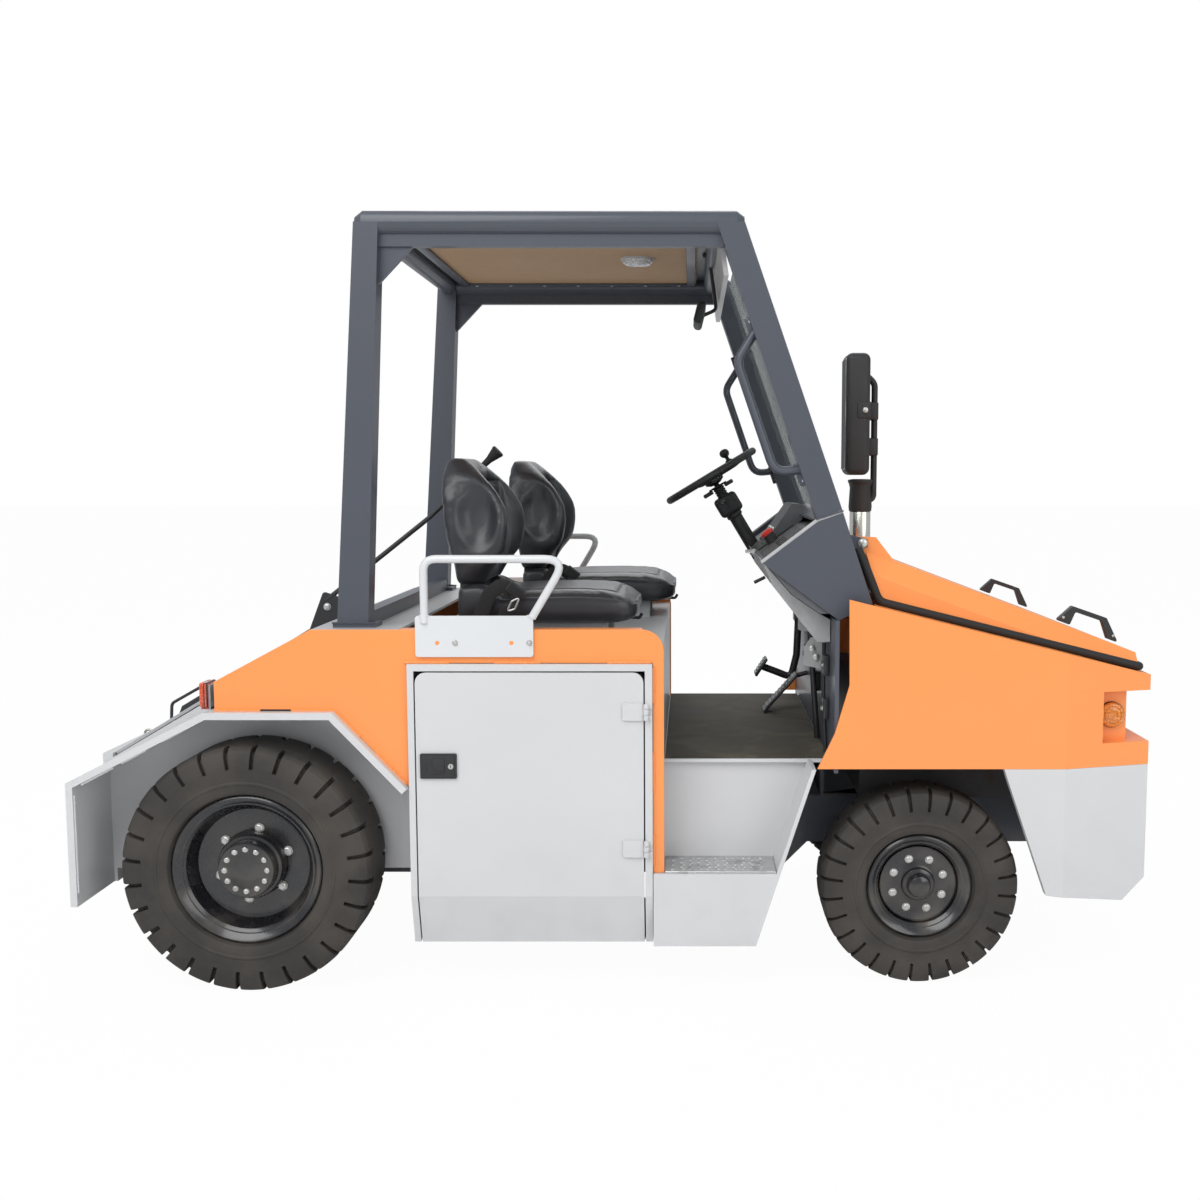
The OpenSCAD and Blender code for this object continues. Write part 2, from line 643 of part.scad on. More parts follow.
// Cab frame: leaning rear posts, roof rails with cross tubes and sheet, front pillars
post_w = 70;
beam_w = 42;
roof_z = roof_top - rail_d / 2;
rail_y = cab_y - rail_d / 2;
post_low = [R(264), R(353)];
post_top = [R(338), R(407)];
pillar_top = [F(-598), F(-520)];
roof_x = [R(337), F(-520)];
pillar_d = [pillar_top[0], roof_z] - cowl_pts[1];
glass_d = [pillar_top[1], roof_z] - cowl_pts[2];
rail_nose = 22;
module rail_form(length, r) {
    cylinder(h = rail_nose, r1 = r - 16, r2 = r);
    translate([0, 0, rail_nose]) cylinder(h = length - 2 * rail_nose, r = r);
    translate([0, 0, length - rail_nose]) cylinder(h = rail_nose, r1 = r, r2 = r - 16);
}
module cab_frame() {
    under = roof_top - rail_d - 30;
    color(frame_grey) {
        both() {
            // Rear post with a foot plate
            prism([[post_low[0], side_top], [post_low[1], side_top], [post_top[1], roof_z],
                [post_top[0], roof_z]], cab_y - post_w, cab_y);
            box([post_low[0] - 12, cab_y - post_w - 12, side_top],
                [post_low[1] + 22, cab_y, side_top + 12]);
            // Front pillar on the cowl
            prism([cowl_pts[1], cowl_pts[2], [pillar_top[1], roof_z], [pillar_top[0], roof_z]],
                cab_y - post_w, cab_y);
            // Roof rail with drawn-in ends, and the lower rail
            translate([roof_x[0], rail_y, roof_z]) rotate([0, 90, 0])
                rail_form(roof_x[1] - roof_x[0], rail_d / 2);
            box([post_top[0] + 5, rail_y - 15, under], [pillar_top[0] + 20, rail_y + 15, roof_z]);
            // Corner gusset
            prism([[post_top[1] - 20, under], [post_top[1] + 90, under], [post_top[1] - 25, under - 120]],
                rail_y - 8, rail_y + 8);
        }
        // Cross beam between the rear posts' feet
        box([post_low[1] - beam_w, -cab_y + post_w - 1, side_top],
            [post_low[1], cab_y - post_w + 1, side_top + beam_w]);
        for (x = [roof_x[0] + 40, roof_x[1] - 70])
            along_y(x, roof_z, -rail_y, rail_y, rail_d / 2 - 4);
        box([roof_x[0] + 20, -rail_y, roof_z + 18], [roof_x[1] - 40, rail_y, roof_z + 26]);
    }
}
liner_t = 14;
liner_x = [R(425), F(-650)];
module roof_liner() {
    half = rail_y - 40;
    color("#b08d62") box([liner_x[0], -half, roof_z + 18 - liner_t], [liner_x[1], half, roof_z + 18]);
}
module dome_lamp() {
    color("white") translate([F(-845), 0, roof_z + 18 - liner_t - 22]) cylinder(h = 22, r = 56);
}
glass_t = 6;
module windshield() {
    inset = 16;
    d = unit(glass_d);
    low = cowl_pts[2] + [d[1], -d[0]] * -inset;
    color([0.7, 0.8, 0.8, 0.4])
        prism(band([low + d * 12, low + glass_d - d * 24], glass_t),
        -cab_y + post_w + seat_gap, cab_y - post_w - seat_gap);
}
// Handle loops behind the front pillars, drawn upright and leaned with the pillar
loop_len = norm(pillar_d) * 0.466;
loop_out = 70;
loop_r = 11;
module grab_handles() {
    low = cowl_pts[1] + pillar_d * 0.17;
    color(black) both() translate([low[0], cab_y - post_w / 2, low[1]])
        rotate([0, atan2(pillar_d[0], pillar_d[1]), 0])
        bent_bar([[2, 0], [-loop_out, 40], [-loop_out, loop_len - 40], [2, loop_len]], 0, loop_r, 34);
}
module inner_mirror() {
    color(black) {
        translate([F(-645), 0, roof_z]) {
            box([-10, -110, -217], [18, 110, -145]);
            box([0, -8, -146], [14, 8, 18]);
        }
    }
}

// Outer mirror on a polished post that stands on the left ledge
post_r = 40;
post_c = [F(-19), side_y - post_r - 1];
module mirror_post() {
    color("lightgray") difference() {
        translate([post_c[0], post_c[1], 1000]) cylinder(h = 354, r = post_r);
        prism([[F(-250), 900], nose_top[0] + [-28, 7.1], nose_top[1], [F(400), 900]], 500, 800);
    }
}
module outer_mirror() {
    head_x = [F(-87), F(6)];
    head_z = [1493, 1950];
    arm_x = F(31);
    color(black) {
        translate([post_c[0], post_c[1], 1354]) {
            cylinder(h = 18, r = post_r);
            translate([0, 0, 18]) cylinder(h = 108, r1 = post_r - 2, r2 = post_r - 14);
        }
        bent_bar([[post_c[0], 1385], [arm_x, 1400], [arm_x, 1850], [head_x[1] - 10, 1880]],
            post_c[1], 13, 20);
        translate([arm_x, post_c[1], 1600]) rotate([0, -90, 0]) cylinder(h = arm_x - head_x[1] + 10, r = 9);
        prism(concat(arc([head_x[0] + 20, head_z[1] - 20], 20, 180, 90),
            arc([head_x[1] - 45, head_z[1] - 45], 45, 90, 0),
            arc([head_x[1] - 45, head_z[0] + 45], 45, 0, -90),
            arc([head_x[0] + 20, head_z[0] + 20], 20, -90, -180)), post_c[1] - 85, post_c[1] + 65);
    }
}

// Seats on a pedestal, the driver's slid forward
seat_x0 = R(522);
seat_len = 600;
cushion_z = [side_top + 4, side_top + 94];
cushion_fall = 30;
cushion_x0 = 60;
pedestal_top = 1000;
nose_r = 50;
function seat_shift(s) = s > 0 ? seat_slide : 0;
// Height of a cushion's top at x, and a point just above it
function cushion_top(x) =
    cushion_z[1] - cushion_fall * (seat_len - nose_r - x) / (seat_len - nose_r - cushion_x0);
function foot(x) = [x, cushion_top(x) + seat_gap];
module seat_pedestal() {
    color("#a9acad") {
        box([floor_x0 - 9, -side_y + sheet + seat_gap, floor_z - floor_t],
            [floor_x0, side_y - sheet - seat_gap, pedestal_top]);
        box([deck_flat_x + 2, -side_y + sheet + seat_gap, pedestal_top - 10],
            [floor_x0 - 8, side_y - sheet - seat_gap, pedestal_top]);
        for (s = [-1, 1]) translate([seat_x0 + seat_shift(s), s * seat_y, 0])
            for (y = [-150, 150])
                box([60, y - 20, pedestal_top - 1], [seat_len - 90, y + 20, cushion_z[0] - seat_gap]);
    }
}
module seat_cushions() {
    color(black) for (s = [-1, 1]) translate([seat_x0 + seat_shift(s), s * seat_y, 0])
        prism(concat([[cushion_x0, cushion_z[0]]], arc([seat_len - 40, cushion_z[0] + 40], 40, -90, 0),
            arc([seat_len - nose_r, cushion_z[1] - nose_r], nose_r, 0, 90),
            [[cushion_x0, cushion_top(cushion_x0)]]), -seat_w / 2, seat_w / 2);
}
// Bucket backs that stand on the cushions: a pad between two wings, outlined from the side and the front
wing_w = 75;
back_rise = 401;
crown_r = 120;
module seat_backs() {
    half = seat_w / 2;
    z = cushion_z[1];
    top = z + back_rise;
    spine = [[34, top], [20, top - 31], [29, top - 150], [59, z + 74], foot(63)];
    pad = concat(spine, [foot(165), [118, z + 200], [100, top - 30], [83, top]]);
    wing = concat(spine, [foot(185), [203, z + 95], [219, z + 137], [225, z + 189], [220, z + 241],
        [185, z + 308], [129, z + 365], [83, top]]);
    front = concat([[20 - half, z - 60], [half - 20, z - 60], [half, z + 110]],
        arc([half - crown_r, top - crown_r], crown_r, 0, 90),
        arc([crown_r - half, top - crown_r], crown_r, 90, 180), [[-half, z + 110]]);
    color(black) for (s = [-1, 1]) translate([seat_x0 + seat_shift(s), s * seat_y, 0]) intersection() {
        union() {
            prism(pad, wing_w - half - 1, half - wing_w + 1);
            both() prism(wing, half - wing_w, half);
        }
        prism_x(front, 0, 300);
    }
}
arm_plate_x = [R(500), R(834)];
module armrests() {
    y = side_y + 4;
    zs = [979, 1096, 1268];
    color("silver") both() {
        difference() {
            box([arm_plate_x[0], side_y, zs[0]], [arm_plate_x[1], side_y + 8, zs[1]]);
            for (x = [43, 249]) along_y(arm_plate_x[0] + x, 1019, 0, 800, 8);
        }
        bent_bar([[arm_plate_x[0] + 26, zs[1] - 20], [arm_plate_x[0] + 26, zs[2] - arm_d / 2],
            [R(930), zs[2] - arm_d / 2], [R(822), zs[1] - 20]], y, arm_d / 2, 34);
    }
}

// Axles
stub_r = 40;
diff_r = 140;
module rear_axle() {
    color(frame_grey) {
        along_y(rear_axle_x, rear_axle_z, -well_y + 5, well_y - 5, axle_tube_r);
        along_y(rear_axle_x, rear_axle_z, -rear_wheel_y, rear_wheel_y, stub_r);
        translate([rear_axle_x - 120, 0, rear_axle_z]) rotate([0, 90, 0]) cylinder(h = 260, r = diff_r);
    }
}
module drive_motor() {
    color("#6b6f75") translate([rear_axle_x + 140, 0, rear_axle_z]) rotate([0, 90, 0])
        cylinder(h = 300, r = 120);
}
eye_r = 38;
eye_h = 80;
king_r = 18;
fork_gap = 5;
fork_t = 18;
module front_axle() {
    color(frame_grey) difference() {
        union() {
            box([F(-45), -kingpin_y + 20, front_axle_z - 40], [F(45), kingpin_y - 20, front_axle_z + 40]);
            both() translate([front_axle_x, kingpin_y, front_axle_z - eye_h / 2])
                cylinder(h = eye_h, r = eye_r);
        }
        both() translate([front_axle_x, kingpin_y, 0]) cylinder(h = 800, r = king_r + run_fit);
    }
}
// Left knuckle: a fork with its kingpin and the wheel's spindle
spindle_r = 25;
module knuckle_form() {
    reach = eye_r + 8;
    half = eye_h / 2 + fork_gap;
    color(frame_grey) {
        translate([front_axle_x, kingpin_y, front_axle_z]) {
            translate([0, 0, -half - fork_t]) cylinder(h = 2 * (half + fork_t), r = king_r);
            for (z = [-half - fork_t, half]) translate([0, 0, z]) {
                cylinder(h = fork_t, r = eye_r - 4);
                box([-34, 0, 0], [34, reach + 18, fork_t]);
            }
            box([-34, reach, -half - 1], [34, reach + 18, half + 1]);
        }
        along_y(front_axle_x, front_axle_z, kingpin_y + reach + 17,
            front_wheel_y + front_hub_y - cap_t - 4, spindle_r);
    }
}
module knuckle_right() { mirror([0, 1, 0]) knuckle_form(); }
module knuckle_left() { knuckle_form(); }

// Wheels, built on the left with their outer side towards +Y
rear_seat_r = 190;
rear_flange_r = 218;
front_seat_r = 127;
front_flange_r = 153;
flange_t = 12;
disc_t = 14;
cap_t = 14;
nut_r = 13;
nut_h = 16;
rear_hub_y = 96;
front_hub_y = 76;
function tyre_section(seat_r, od, w) = let (b = w / 2 - 30)
    [[seat_r + seat_gap, -b], [seat_r + seat_gap, b], [seat_r + 32, b], [seat_r + 48, w / 2 - 4],
    [od / 2 - 60, w / 2], [od / 2 - 12, w / 2 - 10], [od / 2, w / 2 - 26], [od / 2, -w / 2 + 26],
    [od / 2 - 12, -w / 2 + 10], [od / 2 - 60, -w / 2], [seat_r + 48, -w / 2 + 4], [seat_r + 32, -b]];
module tyre_form(seat_r, od, w) {
    pitch = 360 / lug_count;
    cut_w = PI * od / lug_count * 0.34;
    difference() {
        rotate([-90, 0, 0]) rotate_extrude() polygon(tyre_section(seat_r, od, w));
        for (i = [0:lug_count - 1], s = [-1, 1]) rotate([0, (i + (s > 0 ? 0 : 0.5)) * pitch, 0])
            translate([-cut_w / 2, s > 0 ? w / 2 - 52 : -w / 2 - 10, od / 2 - lug_cut])
            cube([cut_w, 62, 60]);
    }
}
module rim_form(seat_r, flange_r, w, disc_y, boss, hub_r, hub_y, bolts, bolt_pcd, bore_r) {
    b = w / 2 - 30;
    lip = b + seat_gap;
    section = [[seat_r - 14, -lip - flange_t], [flange_r, -lip - flange_t], [flange_r, -lip],
        [seat_r, -lip], [seat_r, lip], [flange_r, lip], [flange_r, lip + flange_t],
        [seat_r - 14, lip + flange_t]];
    difference() {
        union() {
            rotate([-90, 0, 0]) rotate_extrude() polygon(section);
            along_y(0, 0, disc_y - disc_t, disc_y, seat_r - 13);
            along_y(0, 0, disc_y - boss, disc_y, hub_r + 12);
            along_y(0, 0, disc_y, hub_y, hub_r);
            for (i = [0:bolts - 1]) rotate([0, i * 360 / bolts, 0])
                along_y(bolt_pcd / 2, 0, disc_y - 1, disc_y + nut_h, nut_r);
        }
        along_y(0, 0, disc_y - boss - 1, hub_y - cap_t, bore_r + run_fit);
    }
}
module on_side(x, y, z, side) {
    translate([x, side * y, z]) mirror([0, side > 0 ? 0 : 1, 0]) children();
}
module at_rear(side) { on_side(rear_axle_x, rear_wheel_y, rear_axle_z, side) children(); }
module at_front(side) { on_side(front_axle_x, front_wheel_y, front_axle_z, side) children(); }
module rear_rim() {
    color(black)
        rim_form(rear_seat_r, rear_flange_r, rear_tyre_w, 20, 60, 82, rear_hub_y, 6, 212, stub_r);
}
module front_rim() {
    color(black)
        rim_form(front_seat_r, front_flange_r, front_tyre_w, 34, disc_t, 30, front_hub_y, 8, 157,
            spindle_r);
}
module rear_tyre() { color("#37322f") tyre_form(rear_seat_r, rear_tyre_od, rear_tyre_w); }
module front_tyre() { color("#37322f") tyre_form(front_seat_r, front_tyre_od, front_tyre_w); }
module rim_front_right() { at_front(-1) front_rim(); }
module rim_front_left() { at_front(1) front_rim(); }
module rim_rear_right() { at_rear(-1) rear_rim(); }
module rim_rear_left() { at_rear(1) rear_rim(); }
module tyre_front_right() { at_front(-1) front_tyre(); }
module tyre_front_left() { at_front(1) front_tyre(); }
module tyre_rear_right() { at_rear(-1) rear_tyre(); }
module tyre_rear_left() { at_rear(1) rear_tyre(); }

chassis_frame();
rear_body();
rear_side_panels();
rear_deck();
rear_grab_handle();
tow_coupling();
release_lever();
tail_lamps();
side_boxes();
battery_pack();
battery_door_right();
battery_door_left();
door_latch_right();
door_latch_left();
steps();
step_treads();
floor_deck();
floor_mat();
front_body();
front_bumper();
headlamps();
turn_lamps();
hood();
hood_seal();
hood_handles();
control_unit();
cowl();
dashboard();
steering_column();
steering_wheel();
pedals();
cab_frame();
roof_liner();
dome_lamp();
windshield();
grab_handles();
inner_mirror();
mirror_post();
outer_mirror();
seat_pedestal();
seat_cushions();
seat_backs();
armrests();
rear_axle();
drive_motor();
front_axle();
knuckle_right();
knuckle_left();
rim_front_right();
rim_front_left();
rim_rear_right();
rim_rear_left();
tyre_front_right();
tyre_front_left();
tyre_rear_right();
tyre_rear_left();
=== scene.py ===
"""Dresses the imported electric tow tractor: finishes, wheels, seats, fittings and the studio around it."""
import json
import math
import random

import bmesh
import bpy
from mathutils import Matrix, Vector, noise


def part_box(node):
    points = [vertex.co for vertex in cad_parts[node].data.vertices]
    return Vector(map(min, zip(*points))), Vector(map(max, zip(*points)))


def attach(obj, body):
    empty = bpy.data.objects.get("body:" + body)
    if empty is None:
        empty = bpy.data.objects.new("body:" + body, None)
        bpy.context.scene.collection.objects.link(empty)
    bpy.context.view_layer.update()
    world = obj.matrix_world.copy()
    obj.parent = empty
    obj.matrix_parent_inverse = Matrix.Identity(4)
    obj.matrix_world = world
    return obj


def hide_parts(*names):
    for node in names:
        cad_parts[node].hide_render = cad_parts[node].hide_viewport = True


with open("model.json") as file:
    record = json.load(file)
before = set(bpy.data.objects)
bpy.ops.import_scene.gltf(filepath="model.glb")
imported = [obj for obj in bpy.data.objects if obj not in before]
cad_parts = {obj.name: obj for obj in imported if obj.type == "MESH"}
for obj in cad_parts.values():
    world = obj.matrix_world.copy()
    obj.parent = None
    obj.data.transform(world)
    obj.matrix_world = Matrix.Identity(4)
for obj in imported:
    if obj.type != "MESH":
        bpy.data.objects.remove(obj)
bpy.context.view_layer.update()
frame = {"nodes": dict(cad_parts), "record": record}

bl_info = {
    "name": "Tow Tractor Dressing",
    "version": (1, 0, 0),
    "blender": (4, 5, 0),
    "location": "View3D > Sidebar > Tractor",
    "description": "Finishes, wheels, seats and fittings of an electric tow tractor",
    "category": "Object",
}

SIDES = {"right": -1, "left": 1}
ROAD_DUST = (0.23, 0.20, 0.16)
TYRE_DUST = (0.10, 0.085, 0.07)
SHOE_DIRT = (0.20, 0.18, 0.15)
RUST = (0.13, 0.065, 0.035)


# Shader maths


class Val:
    """A shader socket that takes part in Python expressions."""

    def __init__(self, tree, socket):
        self.tree = tree
        self.socket = socket

    def _math(self, operation, first, second):
        node = self.tree.nodes.new("ShaderNodeMath")
        node.operation = operation
        for slot, value in zip(node.inputs, (first, second)):
            if isinstance(value, Val):
                self.tree.links.new(value.socket, slot)
            else:
                slot.default_value = value
        return Val(self.tree, node.outputs[0])

    def __add__(self, other):
        return self._math("ADD", self, other)

    def __radd__(self, other):
        return self._math("ADD", other, self)

    def __sub__(self, other):
        return self._math("SUBTRACT", self, other)

    def __rsub__(self, other):
        return self._math("SUBTRACT", other, self)

    def __mul__(self, other):
        return self._math("MULTIPLY", self, other)

    def __rmul__(self, other):
        return self._math("MULTIPLY", other, self)

    def clamp(self):
        return self._math("MAXIMUM", self._math("MINIMUM", self, 1.0), 0.0)


class Finish:
    """One procedural material on Object coordinates."""

    def __init__(self, name, roughness=0.5, metallic=0.0, **fixed):
        self.material = bpy.data.materials.new(name)
        self.material.use_nodes = True
        self.tree = self.material.node_tree
        self.shader = self.tree.nodes["Principled BSDF"]
        self.set("Roughness", roughness)
        self.set("Metallic", metallic)
        for socket, value in fixed.items():
            self.set(socket.replace("_", " "), value)
        self.coords = self.node("ShaderNodeTexCoord").outputs["Object"]

    def set(self, socket, value):
        if isinstance(value, Val):
            self.tree.links.new(value.socket, self.shader.inputs[socket])
        else:
            self.shader.inputs[socket].default_value = value

    def node(self, kind, settings=None, sockets=None):
        """Adds a node, sets its settings and then its sockets' values or links."""
        node = self.tree.nodes.new(kind)
        for key, value in (settings or {}).items():
            setattr(node, key, value)
        for key, value in (sockets or {}).items():
            if isinstance(value, Val):
                self.tree.links.new(value.socket, node.inputs[key])
            elif isinstance(value, bpy.types.NodeSocket):
                self.tree.links.new(value, node.inputs[key])
            else:
                node.inputs[key].default_value = value
        return node

    def stretched(self, scale):
        return self.node("ShaderNodeMapping", None, {"Vector": self.coords, "Scale": scale}).outputs["Vector"]

    def noise(self, scale, detail=3.0, vector=None, distortion=0.0):
        node = self.node(
            "ShaderNodeTexNoise", None,
            {"Vector": vector or self.coords, "Scale": scale, "Detail": detail, "Distortion": distortion},
        )
        return Val(self.tree, node.outputs["Fac"])

    def cells(self, scale, feature="F1", vector=None):
        node = self.node(
            "ShaderNodeTexVoronoi", {"feature": feature}, {"Vector": vector or self.coords, "Scale": scale}
        )
        return Val(self.tree, node.outputs["Distance"])

    def height(self):
        node = self.node("ShaderNodeSeparateXYZ", None, {"Vector": self.coords})
        return Val(self.tree, node.outputs["Z"])

    def ramp(self, value, low, high):
        node = self.node(
            "ShaderNodeMapRange", {"interpolation_type": "SMOOTHSTEP"},
            {"Value": value, "From Min": low, "From Max": high},
        )
        return Val(self.tree, node.outputs["Result"])

    def mixed(self, factor, first, second):
        """A colour between two colours or links."""
        node = self.node("ShaderNodeMix", {"data_type": "RGBA"}, {"Factor": factor})
        for socket, value in ((node.inputs[6], first), (node.inputs[7], second)):
            if isinstance(value, Val):
                self.tree.links.new(value.socket, socket)
            else:
                socket.default_value = (*value[:3], 1.0)
        return Val(self.tree, node.outputs[2])

    def bump(self, value, distance):
        sockets = {"Height": value, "Distance": distance, "Strength": 1.0}
        node = self.node("ShaderNodeBump", None, sockets)
        self.tree.links.new(node.outputs["Normal"], self.shader.inputs["Normal"])


def shade(color, factor):
    return tuple(min(1.0, c * factor) for c in color[:3])


def paint(name, color, rough=0.34, peel=0.00006, dust=0.25, coat=0.25):
    """Sprayed enamel: faint clouding, orange peel, and dust that gathers low down."""
    f = Finish(name, Coat_Weight=coat, Coat_Roughness=0.12)
    cloud = f.noise(2.6, 4.0)
    speck = f.noise(90.0, 2.0)
    low = f.ramp(f.height(), 0.62, 0.05)
    dirt = (low * f.ramp(f.noise(9.0, 6.0), 0.38, 0.72) * dust).clamp()
    clean = f.mixed(cloud, shade(color, 0.95), shade(color, 1.05))
    f.set("Base Color", f.mixed(dirt, clean, ROAD_DUST))
    f.set("Roughness", (rough + speck * 0.06 + dirt * 0.35 + cloud * 0.05).clamp())
    f.bump(f.noise(420.0, 2.0), peel)
    return f.material


def worn_steel(name, color, rough=0.5, metallic=0.7):
    """Cast or forged steel with mill scale and light rust in the hollows."""
    f = Finish(name, metallic=metallic)
    scale = f.noise(34.0, 7.0)
    rust = f.ramp(f.noise(11.0, 5.0), 0.56, 0.74) * 0.5
    bare = f.mixed(scale, shade(color, 0.8), shade(color, 1.25))
    f.set("Base Color", f.mixed(rust, bare, RUST))
    f.set("Roughness", (rough + scale * 0.2 + rust * 0.2).clamp())
    f.bump(scale, 0.0006)
    return f.material


def grained_plastic(name, color, rough=0.5, grain=900.0, depth=0.00012):
    """Moulded plastic with a fine leather-like grain."""
    f = Finish(name)
    skin = f.cells(grain)
    cloud = f.noise(14.0, 3.0)
    f.set("Base Color", f.mixed(cloud, shade(color, 0.85), shade(color, 1.2)))
    f.set("Roughness", (rough + cloud * 0.1 + skin * 0.05).clamp())
    f.bump(skin, depth)
    return f.material


def tyre_rubber(name, color):
    """Solid rubber, greyed by dust on the sidewalls and scuffed on the tread."""
    f = Finish(name, Specular_IOR_Level=0.35)
    cloud = f.noise(6.0, 6.0)
    grit = f.noise(260.0, 3.0)
    dust = (f.ramp(cloud, 0.36, 0.72) * 0.45).clamp()
    clean = f.mixed(grit, shade(color, 0.75), shade(color, 1.2))
    f.set("Base Color", f.mixed(dust, clean, TYRE_DUST))
    f.set("Roughness", (0.58 + dust * 0.3 + grit * 0.08).clamp())
    f.bump(grit + cloud * 0.5, 0.0005)
    return f.material


def seat_vinyl(name, color):
    """Black seat vinyl with a pebbled grain and a soft shine."""
    f = Finish(name, Coat_Weight=0.3, Coat_Roughness=0.25)
    pebble = f.cells(520.0, "SMOOTH_F1")
    cloud = f.noise(5.0, 4.0)
    f.set("Base Color", f.mixed(cloud, shade(color, 0.8), shade(color, 1.35)))
    f.set("Roughness", (0.36 + cloud * 0.12 + pebble * 0.08).clamp())
    f.bump(pebble + f.noise(60.0, 3.0) * 0.4, 0.0004)
    return f.material


def pressed_board(name, color):
    """Tan board with long fibres and uneven stain."""
    f = Finish(name)
    fibre = f.noise(28.0, 8.0, f.stretched((1.0, 9.0, 9.0)), 0.6)
    blot = f.noise(4.0, 5.0)
    f.set("Base Color", f.mixed(fibre, shade(color, 0.72), shade(color, 1.3)))
    f.set("Roughness", (0.62 + blot * 0.2).clamp())
    f.bump(fibre, 0.0007)
    return f.material


def tread_alloy(name, color):
    """Rolled aluminium, brushed by shoes and dulled between the bars."""
    f = Finish(name, metallic=0.9)
    brush = f.noise(60.0, 4.0, f.stretched((1.0, 14.0, 1.0)))
    soil = f.ramp(f.noise(18.0, 6.0), 0.48, 0.75) * 0.6
    clean = f.mixed(brush, shade(color, 0.85), shade(color, 1.15))
    f.set("Base Color", f.mixed(soil, clean, SHOE_DIRT))
    f.set("Roughness", (0.32 + brush * 0.2 + soil * 0.3).clamp())
    f.bump(brush, 0.0002)
    return f.material


def foot_mat(name, color):
    """Rubber sheet with trodden dust and a faint creased surface."""
    f = Finish(name, Specular_IOR_Level=0.3)
    tread = f.noise(7.0, 7.0, None, 0.8)
    grit = f.noise(380.0, 2.0)
    f.set("Base Color", f.mixed(f.ramp(tread, 0.35, 0.75), color, shade(color, 1.9)))
    f.set("Roughness", (0.68 + tread * 0.2).clamp())
    f.bump(tread * 3.0 + grit * 0.3, 0.0009)
    return f.material


def bright_metal(name, color, rough=0.16, metallic=1.0):
    """Plated or polished metal with hairline marks and a breath of haze."""
    f = Finish(name, metallic=metallic)
    line = f.noise(40.0, 5.0, f.stretched((1.0, 1.0, 22.0)))
    haze = f.noise(8.0, 4.0)
    f.set("Base Color", f.mixed(haze, shade(color, 0.88), shade(color, 1.06)))
    f.set("Roughness", (rough + line * 0.1 + haze * 0.08).clamp())
    f.bump(line, 0.00005)
    return f.material


def lens(name, color, rough=0.08, cell=210.0):
    """Moulded lamp lens with a pattern of small prisms over a bright backing."""
    f = Finish(name, Coat_Weight=0.8, Coat_Roughness=0.03, IOR=1.49)
    prism = f.cells(cell, "SMOOTH_F1")
    f.set("Base Color", f.mixed(f.ramp(prism, 0.05, 0.55), shade(color, 1.25), shade(color, 0.62)))
    f.set("Roughness", (rough + prism * 0.06).clamp())
    f.bump(prism, 0.0012)
    return f.material


def clear_glass(name, color):
    """Clear laminated glass with a green edge and a film of dust."""
    f = Finish(name, roughness=0.0, Transmission_Weight=0.92, IOR=1.46)
    film = f.ramp(f.noise(5.0, 6.0), 0.45, 0.8)
    f.set("Base Color", f.mixed(film, color, shade(color, 0.86)))
    f.set("Roughness", (film * 0.01).clamp())
    return f.material


FINISHES = {}


def make_finishes(colors):
    """Builds the finishes once, by the record's slot names and a few of the scene's own."""
    FINISHES.update({
        "orange_paint": paint("orange_paint", colors.orange),
        "silver_paint": paint("silver_paint", colors.silver, dust=0.08),
        "frame_paint": paint("frame_paint", colors.frame_grey, 0.42, 0.00012),
        "deck_paint": paint("deck_paint", colors.deck_grey, 0.42),
        "bright_tube": paint("bright_tube", colors.tube, 0.26, 0.00002, 0.0, 0.4),
        "black_steel": paint("black_steel", (0.018, 0.018, 0.02), 0.36, 0.00008, 0.2),
        "rim_paint": paint("rim_paint", (0.010, 0.010, 0.012), 0.22, 0.00004, 0.35, 0.5),
        "raw_steel": worn_steel("raw_steel", (0.10, 0.10, 0.105)),
        "zinc": worn_steel("zinc", (0.55, 0.55, 0.53), 0.28, 0.95),
        "polished_steel": bright_metal("polished_steel", (0.74, 0.72, 0.66)),
        "mirror_face": bright_metal("mirror_face", (0.9, 0.9, 0.9), 0.02),
        "black_plastic": grained_plastic("black_plastic", (0.022, 0.022, 0.023)),
        "dash_plastic": grained_plastic("dash_plastic", (0.085, 0.088, 0.095), 0.48, 1100.0),
        "knee_plastic": grained_plastic("knee_plastic", (0.40, 0.40, 0.40), 0.52, 1100.0),
        "red_plastic": grained_plastic("red_plastic", (0.62, 0.03, 0.02), 0.3, 1500.0, 0.00004),
        "seal_rubber": grained_plastic("seal_rubber", (0.014, 0.014, 0.014), 0.62, 700.0),
        "mat_rubber": foot_mat("mat_rubber", colors.mat),
        "tyre_rubber": tyre_rubber("tyre_rubber", colors.tyre),
        # The seat vinyl colour carries a blue tint of painted sheen.
        "seat_vinyl": seat_vinyl("seat_vinyl", colors.vinyl),
        "webbing": grained_plastic("webbing", (0.016, 0.016, 0.016), 0.75, 1600.0, 0.0004),
        "liner_board": pressed_board("liner_board", colors.board),
        "tread_plate": tread_alloy("tread_plate", (0.62, 0.63, 0.63)),
        "lamp_white": lens("lamp_white", (0.82, 0.83, 0.83)),
        "lamp_amber": lens("lamp_amber", (0.90, 0.27, 0.02)),
        "lamp_red": lens("lamp_red", (0.78, 0.10, 0.03)),
        "window_glass": clear_glass("window_glass", (0.86, 0.93, 0.91)),
    })


# Mesh helpers


